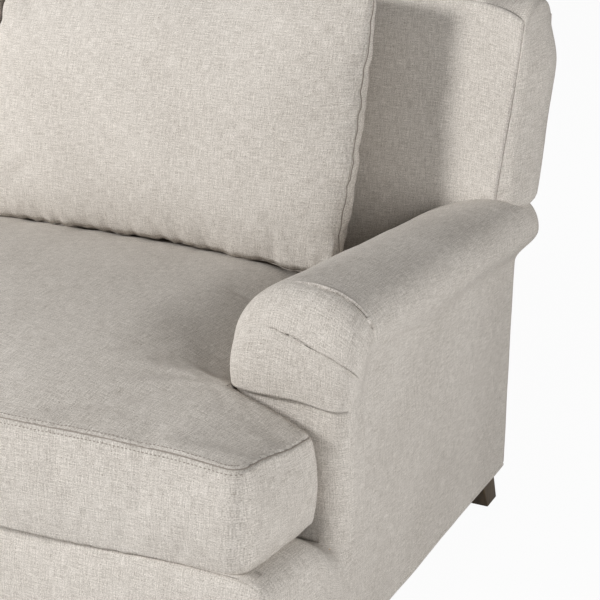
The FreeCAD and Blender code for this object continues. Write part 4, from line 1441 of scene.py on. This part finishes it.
def stitching(piece, seam):
    """Two rows of stitches along the front seam, one on the top panel and one on the boxing."""
    cover = BVHTree.FromObject(piece, bpy.context.evaluated_depsgraph_get())
    form = bmesh.new()
    behind = (SEAT_FRONT + FRONT_BOW + EAR_ROUND * 0.6) * MM
    front = sorted((p for p in seam if p.y < behind), key=lambda p: p.x)
    line = even([tuple(p) for p in front], round((front[-1].x - front[0].x) / (STITCH_PITCH * MM)))
    for here, after in zip(line, line[1:]):
        middle = (Vector(here) + Vector(after)) / 2
        along = (Vector(after) - Vector(here)).normalized()
        inward = Vector((-along.y, along.x, 0.0))
        for step in (inward * STITCH_GAP * MM, Vector((0.0, 0.0, -STITCH_GAP * MM))):
            place, normal, _, _ = cover.find_nearest(middle + step)
            stitch(form, place, along, normal)
    bmesh.ops.recalc_face_normals(form, faces=form.faces)
    return new_piece(form, "seat_stitching")


def seam_shade_cord(name, piece, loop):
    """A dark cord of painted shade in a seam: a thin closed cord a little below the cloth, standing for the
    shadow in the seam's groove.
    """
    verts = [piece.data.vertices[i] for i in loop]
    points = [vert.co - vert.normal * CORD_DEEP * MM for vert in verts]
    form = bmesh.new()
    rings = []
    for i, middle in enumerate(points):
        along = (points[(i + 1) % len(points)] - points[i - 1]).normalized()
        out = verts[i].normal - along * verts[i].normal.dot(along)
        out.normalize()
        rings.append(cord_ring(form, middle, out * (CORD_R * MM), along.cross(out) * (CORD_R * MM)))
    for first, second in zip(rings, rings[1:] + rings[:1]):
        join_rings(form, first, second)
    bmesh.ops.recalc_face_normals(form, faces=form.faces)
    return new_piece(form, name)


# Thread for the stitches; on the seam cords the same dark colour is painted shade for the seam grooves.
def stitch_and_seam_shade_finish():
    material, shader, place = new_finish("stitch_and_seam_shade")
    twist = ((place[0] + place[1] * 0.3) * (2 * math.pi / THREAD_TWIST)).sine()
    (twist * 0.5 + 0.5).mix(THREAD_AND_SEAM_SHADE_DARK, THREAD_AND_SEAM_SHADE_LIGHT).feed(shader, "Base Color")
    (twist * 0.1 + 0.6).feed(shader, "Roughness")
    return material


seat, seat_seam = seat_cover()
sharpen(seat, seat_seam, 1.0)
swell_cloth(seat, SEAT_PRESSURE, SEAT_FRAMES, SEAT_CAP, grow=SEAT_GROW)
seam_line = [seat.data.vertices[i].co.copy() for i in seat_seam]
apply_modifier(seat, "SUBSURF", levels=1, render_levels=1)
stitch_and_seam_shade = stitch_and_seam_shade_finish()
# The dark cord laid in the seat's seam is painted shade: it stands for the shadow in the seam's groove.
seat_shade_cord = seam_shade_cord("seat_seam_shade_cord", seat, seat_seam)
sink_seam(seat, SEAM_SINK, SEAM_DRAW)
settle(seat, linen_cover, "seat_cushion", ["seat_cushion"])
stitches = stitching(seat, seam_line)
settle(stitches, stitch_and_seam_shade, "seat_cushion", [])
settle(seat_shade_cord, stitch_and_seam_shade, "seat_cushion", [])


# Back cushions
# Two knife-edged pillows of linen over fibre fill: a front and a rear panel sewn together all round,
# full in the middle, with the cloth puckered along the seam.
PILLOW_FRONT = 66.0
PILLOW_REAR = 102.0
PILLOW_GAP = 1.5
PILLOW_SLOUCH = 46.0
PILLOW_DROP = 18.0
FRONT_FULL = (2.4, 0.65, 0.68)
REAR_FULL = (6.0, 0.5, 0.5)
MIDDLE_SQUARE = 16.0
CUT_WIDER = 16.0
CUT_HIGHER = 12.0
PILLOW_STEP = 11.0
PILLOW_MAP_APART = 3.0
PILLOW_PRESSURE = 3.0
PILLOW_FRAMES = 20
PILLOW_CAP = 18.0
PILLOW_CREASE = 0.75
PILLOW_GROOVE = 6.0
PILLOW_DRAW = 0.45
PUCKER = 5.0
PUCKER_REACH = 28.0
PUCKER_STEP = 17.0
PUCKER_LENGTH = 80.0
PUCKER_DEPTH = 60.0
PUCKER_FINE = (47.0, 0.6)
PUCKER_SHIFT = 300.0
SLACK = (120.0, 3.0)
back_low, back_high = node_box("right_back_cushion")
PILLOW_HALF = (back_high[0] - back_low[0]) / 2
PILLOW_X = (back_high[0] + back_low[0]) / 2
PILLOW_H = back_high[2] - back_low[2]


def seam_y(up):
    """The seam of a pillow at a share of its height: it slouches forward towards the seat."""
    return face_y(back_low[2] + PILLOW_H * up) - PILLOW_REAR - PILLOW_SLOUCH * (1 - up) ** 2


def fullness(a, b, square, across_power, up_power):
    """How full a panel is at a place, from -1 to 1 across and up: nothing at the seam, 1 in the middle."""
    side = square if a > 0 else MIDDLE_SQUARE
    return (1 - abs(a) ** side) ** across_power * (1 - abs(b) ** square) ** up_power


def pillow(side):
    """Front and rear nets that share the seam, formed full, with the flat cut kept as the rest shape."""
    across_count = round(2 * PILLOW_HALF / PILLOW_STEP)
    up_count = round(PILLOW_H / PILLOW_STEP)
    form = bmesh.new()
    cloth_map = form.loops.layers.uv.new("cloth")
    flat = {}
    nets = []
    for face in (0, 1):
        net = []
        for j in range(up_count + 1):
            row = []
            for i in range(across_count + 1):
                if face and (i in (0, across_count) or j in (0, up_count)):
                    row.append(nets[0][j][i])
                    continue
                a = 2 * i / across_count - 1
                b = 2 * j / up_count - 1
                up = j / up_count
                z = back_low[2] + PILLOW_H * up
                seam = seam_y(up)
                if face:
                    y = seam + (face_y(z) - PILLOW_GAP - seam) * fullness(a, b, *REAR_FULL)
                else:
                    y = seam - PILLOW_FRONT * fullness(a, b, *FRONT_FULL)
                z -= PILLOW_DROP * smooth(0.0, 1.0, a) * (1 - up) ** 2
                vert = form.verts.new((side * (PILLOW_X + PILLOW_HALF * a) * MM, y * MM, z * MM))
                cut_x = side * (PILLOW_X + (PILLOW_HALF + CUT_WIDER) * a)
                flat[vert] = Vector((cut_x, seam, z + CUT_HIGHER * b)) * MM
                row.append(vert)
            net.append(row)
        nets.append(net)
    for face, net in enumerate(nets):
        threads = [[(i * PILLOW_STEP * MM + face * PILLOW_MAP_APART, j * PILLOW_STEP * MM)
                    for i in range(across_count + 1)] for j in range(up_count + 1)]
        net_faces(form, cloth_map, net, threads)
    bmesh.ops.recalc_face_normals(form, faces=form.faces)
    form.verts.index_update()
    rest = [flat[v] for v in form.verts]
    piece = new_piece(form, ("right" if side > 0 else "left") + "_back_pillow")
    near = piece.vertex_groups.new(name="near_seam")
    for vert in piece.data.vertices:
        near.add([vert.index], math.exp(-max(0.0, min(seam_distances(vert))) / PUCKER_REACH), "REPLACE")
    rim = [(0, i) for i in range(across_count)]
    rim += [(j, across_count) for j in range(up_count)]
    rim += [(up_count, across_count - i) for i in range(across_count)]
    rim += [(up_count - j, 0) for j in range(up_count)]
    loop = [j * (across_count + 1) + i for j, i in rim]
    for group in ("held", "sewn"):
        piece.vertex_groups.new(name=group).add(loop, 1.0, "REPLACE")
    return piece, rest, loop


def seam_distances(vert):
    """Distances of a pillow's point from the seams at its sides, and from those at its top and bottom."""
    from_side = PILLOW_HALF - abs(abs(vert.co.x) / MM - PILLOW_X)
    from_end = min(vert.co.z / MM - back_low[2], back_high[2] - vert.co.z / MM)
    return from_side, from_end


def pucker(piece, side):
    """Gathers the cloth in small uneven ripples along the seam, which die away over the panel."""
    data = piece.data
    group = piece.vertex_groups["near_seam"].index
    normals = [vert.normal.copy() for vert in data.vertices]
    for vert, normal in zip(data.vertices, normals):
        weight = group_weight(vert, group)
        place = vert.co / MM + Vector((side * PUCKER_SHIFT, 0.0, 0.0))
        from_side, from_end = seam_distances(vert)
        steps = (PUCKER_LENGTH, PUCKER_STEP) if from_side < from_end else (PUCKER_STEP, PUCKER_LENGTH)
        ripple = noise.noise(Vector((place.x / steps[0], place.y / PUCKER_DEPTH, place.z / steps[1])))
        ripple += PUCKER_FINE[1] * noise.noise(place / PUCKER_FINE[0])
        slack = SLACK[1] * noise.noise(place / SLACK[0]) * (1 - weight)
        vert.co += normal * ((PUCKER * ripple * weight + slack) * MM)


for name, side in (("left", -1), ("right", 1)):
    cushion, rest, loop = pillow(side)
    sharpen(cushion, loop, PILLOW_CREASE)
    cushion.shape_key_add(name="formed")
    cut = cushion.shape_key_add(name="flat")
    for point, place in zip(cut.data, rest):
        point.co = place
    swell_cloth(cushion, PILLOW_PRESSURE, PILLOW_FRAMES, PILLOW_CAP, rest=cut)
    apply_modifier(cushion, "SUBSURF", levels=1, render_levels=1)
    pucker(cushion, side)
    # The dark cord laid in the pillow's seam is painted shade: it stands for the shadow in the seam's
    # groove.
    cord = seam_shade_cord(name + "_pillow_seam_shade_cord", cushion, loop)
    sink_seam(cushion, PILLOW_GROOVE, PILLOW_DRAW)
    settle(cord, stitch_and_seam_shade, name + "_back_cushion", [])
    settle(cushion, linen_cover, name + "_back_cushion", [name + "_back_cushion"])


# Studio
# A plain pale floor with no horizon, a soft key light from the front left and a weak fill from the right,
# seen through a long lens from the front right.
CAMERA_PLACE = (1.5049, -1.5700, 1.0289)
CAMERA_TURN = (71.7, 0.0, 27.2)
LENS = 78.0
SENSOR = 36.0
FLOOR_HALF = 12.0
FLOOR_PAINT = (0.93, 0.93, 0.93, 1.0)
FLOOR_ROUGH = 0.9
PURE_WHITE = (1.0, 1.0, 1.0, 1.0)
KEY_PLACE = (-2.48, -2.60, 2.45)
KEY_SIZE = 1.0
KEY_POWER = 196.0
FILL_PLACE = (3.75, -1.20, 1.10)
FILL_SIZE = 2.2
FILL_POWER = 64.0
LOOK_AT = (0.5, 0.0, 0.45)
SKY = 0.15
FLOOR_WHITE = 0.96
BACKDROP_WHITE = 0.97


def area_light(name, place, size, power):
    light = bpy.data.lights.new(name, "AREA")
    light.shape = "DISK"
    light.size = size
    light.energy = power
    lamp = bpy.data.objects.new(name, light)
    lamp.location = place
    lamp.rotation_euler = (Vector(LOOK_AT) - Vector(place)).to_track_quat("-Z", "Y").to_euler()
    bpy.context.collection.objects.link(lamp)


def white_to_camera(start, lit, plain, share):
    """Mixes in plain white where the camera looks, and leaves the lit one elsewhere."""
    camera = start.node("ShaderNodeLightPath", output="Is Camera Ray")
    return start.node("ShaderNodeMixShader", {}, {0: camera * share, 1: lit, 2: plain})


bpy.ops.object.select_all(action="DESELECT")
bpy.ops.mesh.primitive_plane_add(size=2 * FLOOR_HALF, location=(0.0, 0.0, 0.0))
floor = bpy.context.object
floor.name = "studio_floor"
floor_finish, floor_shader, floor_place = new_finish("studio_floor")
floor_shader.inputs["Base Color"].default_value = FLOOR_PAINT
floor_shader.inputs["Roughness"].default_value = FLOOR_ROUGH
floor_tree = floor_finish.node_tree
bright = floor_place[0].node("ShaderNodeEmission", {}, {"Color": PURE_WHITE, "Strength": 1.0})
lit = Socket(floor_tree, floor_shader.outputs["BSDF"])
floor_tree.links.new(white_to_camera(bright, lit, bright, FLOOR_WHITE).socket,
                     floor_tree.nodes["Material Output"].inputs["Surface"])
floor.data.materials.append(floor_finish)

world = bpy.data.worlds.new("studio")
bpy.context.scene.world = world
world.use_nodes = True
tree = world.node_tree
start = Socket(tree, None)
soft = start.node("ShaderNodeBackground", {}, {"Color": PURE_WHITE, "Strength": SKY})
white = start.node("ShaderNodeBackground", {}, {"Color": PURE_WHITE, "Strength": BACKDROP_WHITE})
tree.links.new(white_to_camera(start, soft, white, 1.0).socket, tree.nodes["World Output"].inputs["Surface"])

area_light("key", KEY_PLACE, KEY_SIZE, KEY_POWER)
area_light("fill", FILL_PLACE, FILL_SIZE, FILL_POWER)

lens = bpy.data.cameras.new("camera")
lens.lens = LENS
lens.sensor_width = SENSOR
viewer = bpy.data.objects.new("camera", lens)
viewer.location = CAMERA_PLACE
viewer.rotation_euler = [math.radians(a) for a in CAMERA_TURN]
bpy.context.collection.objects.link(viewer)
bpy.context.scene.camera = viewer
bpy.context.scene.view_settings.view_transform = "Standard"
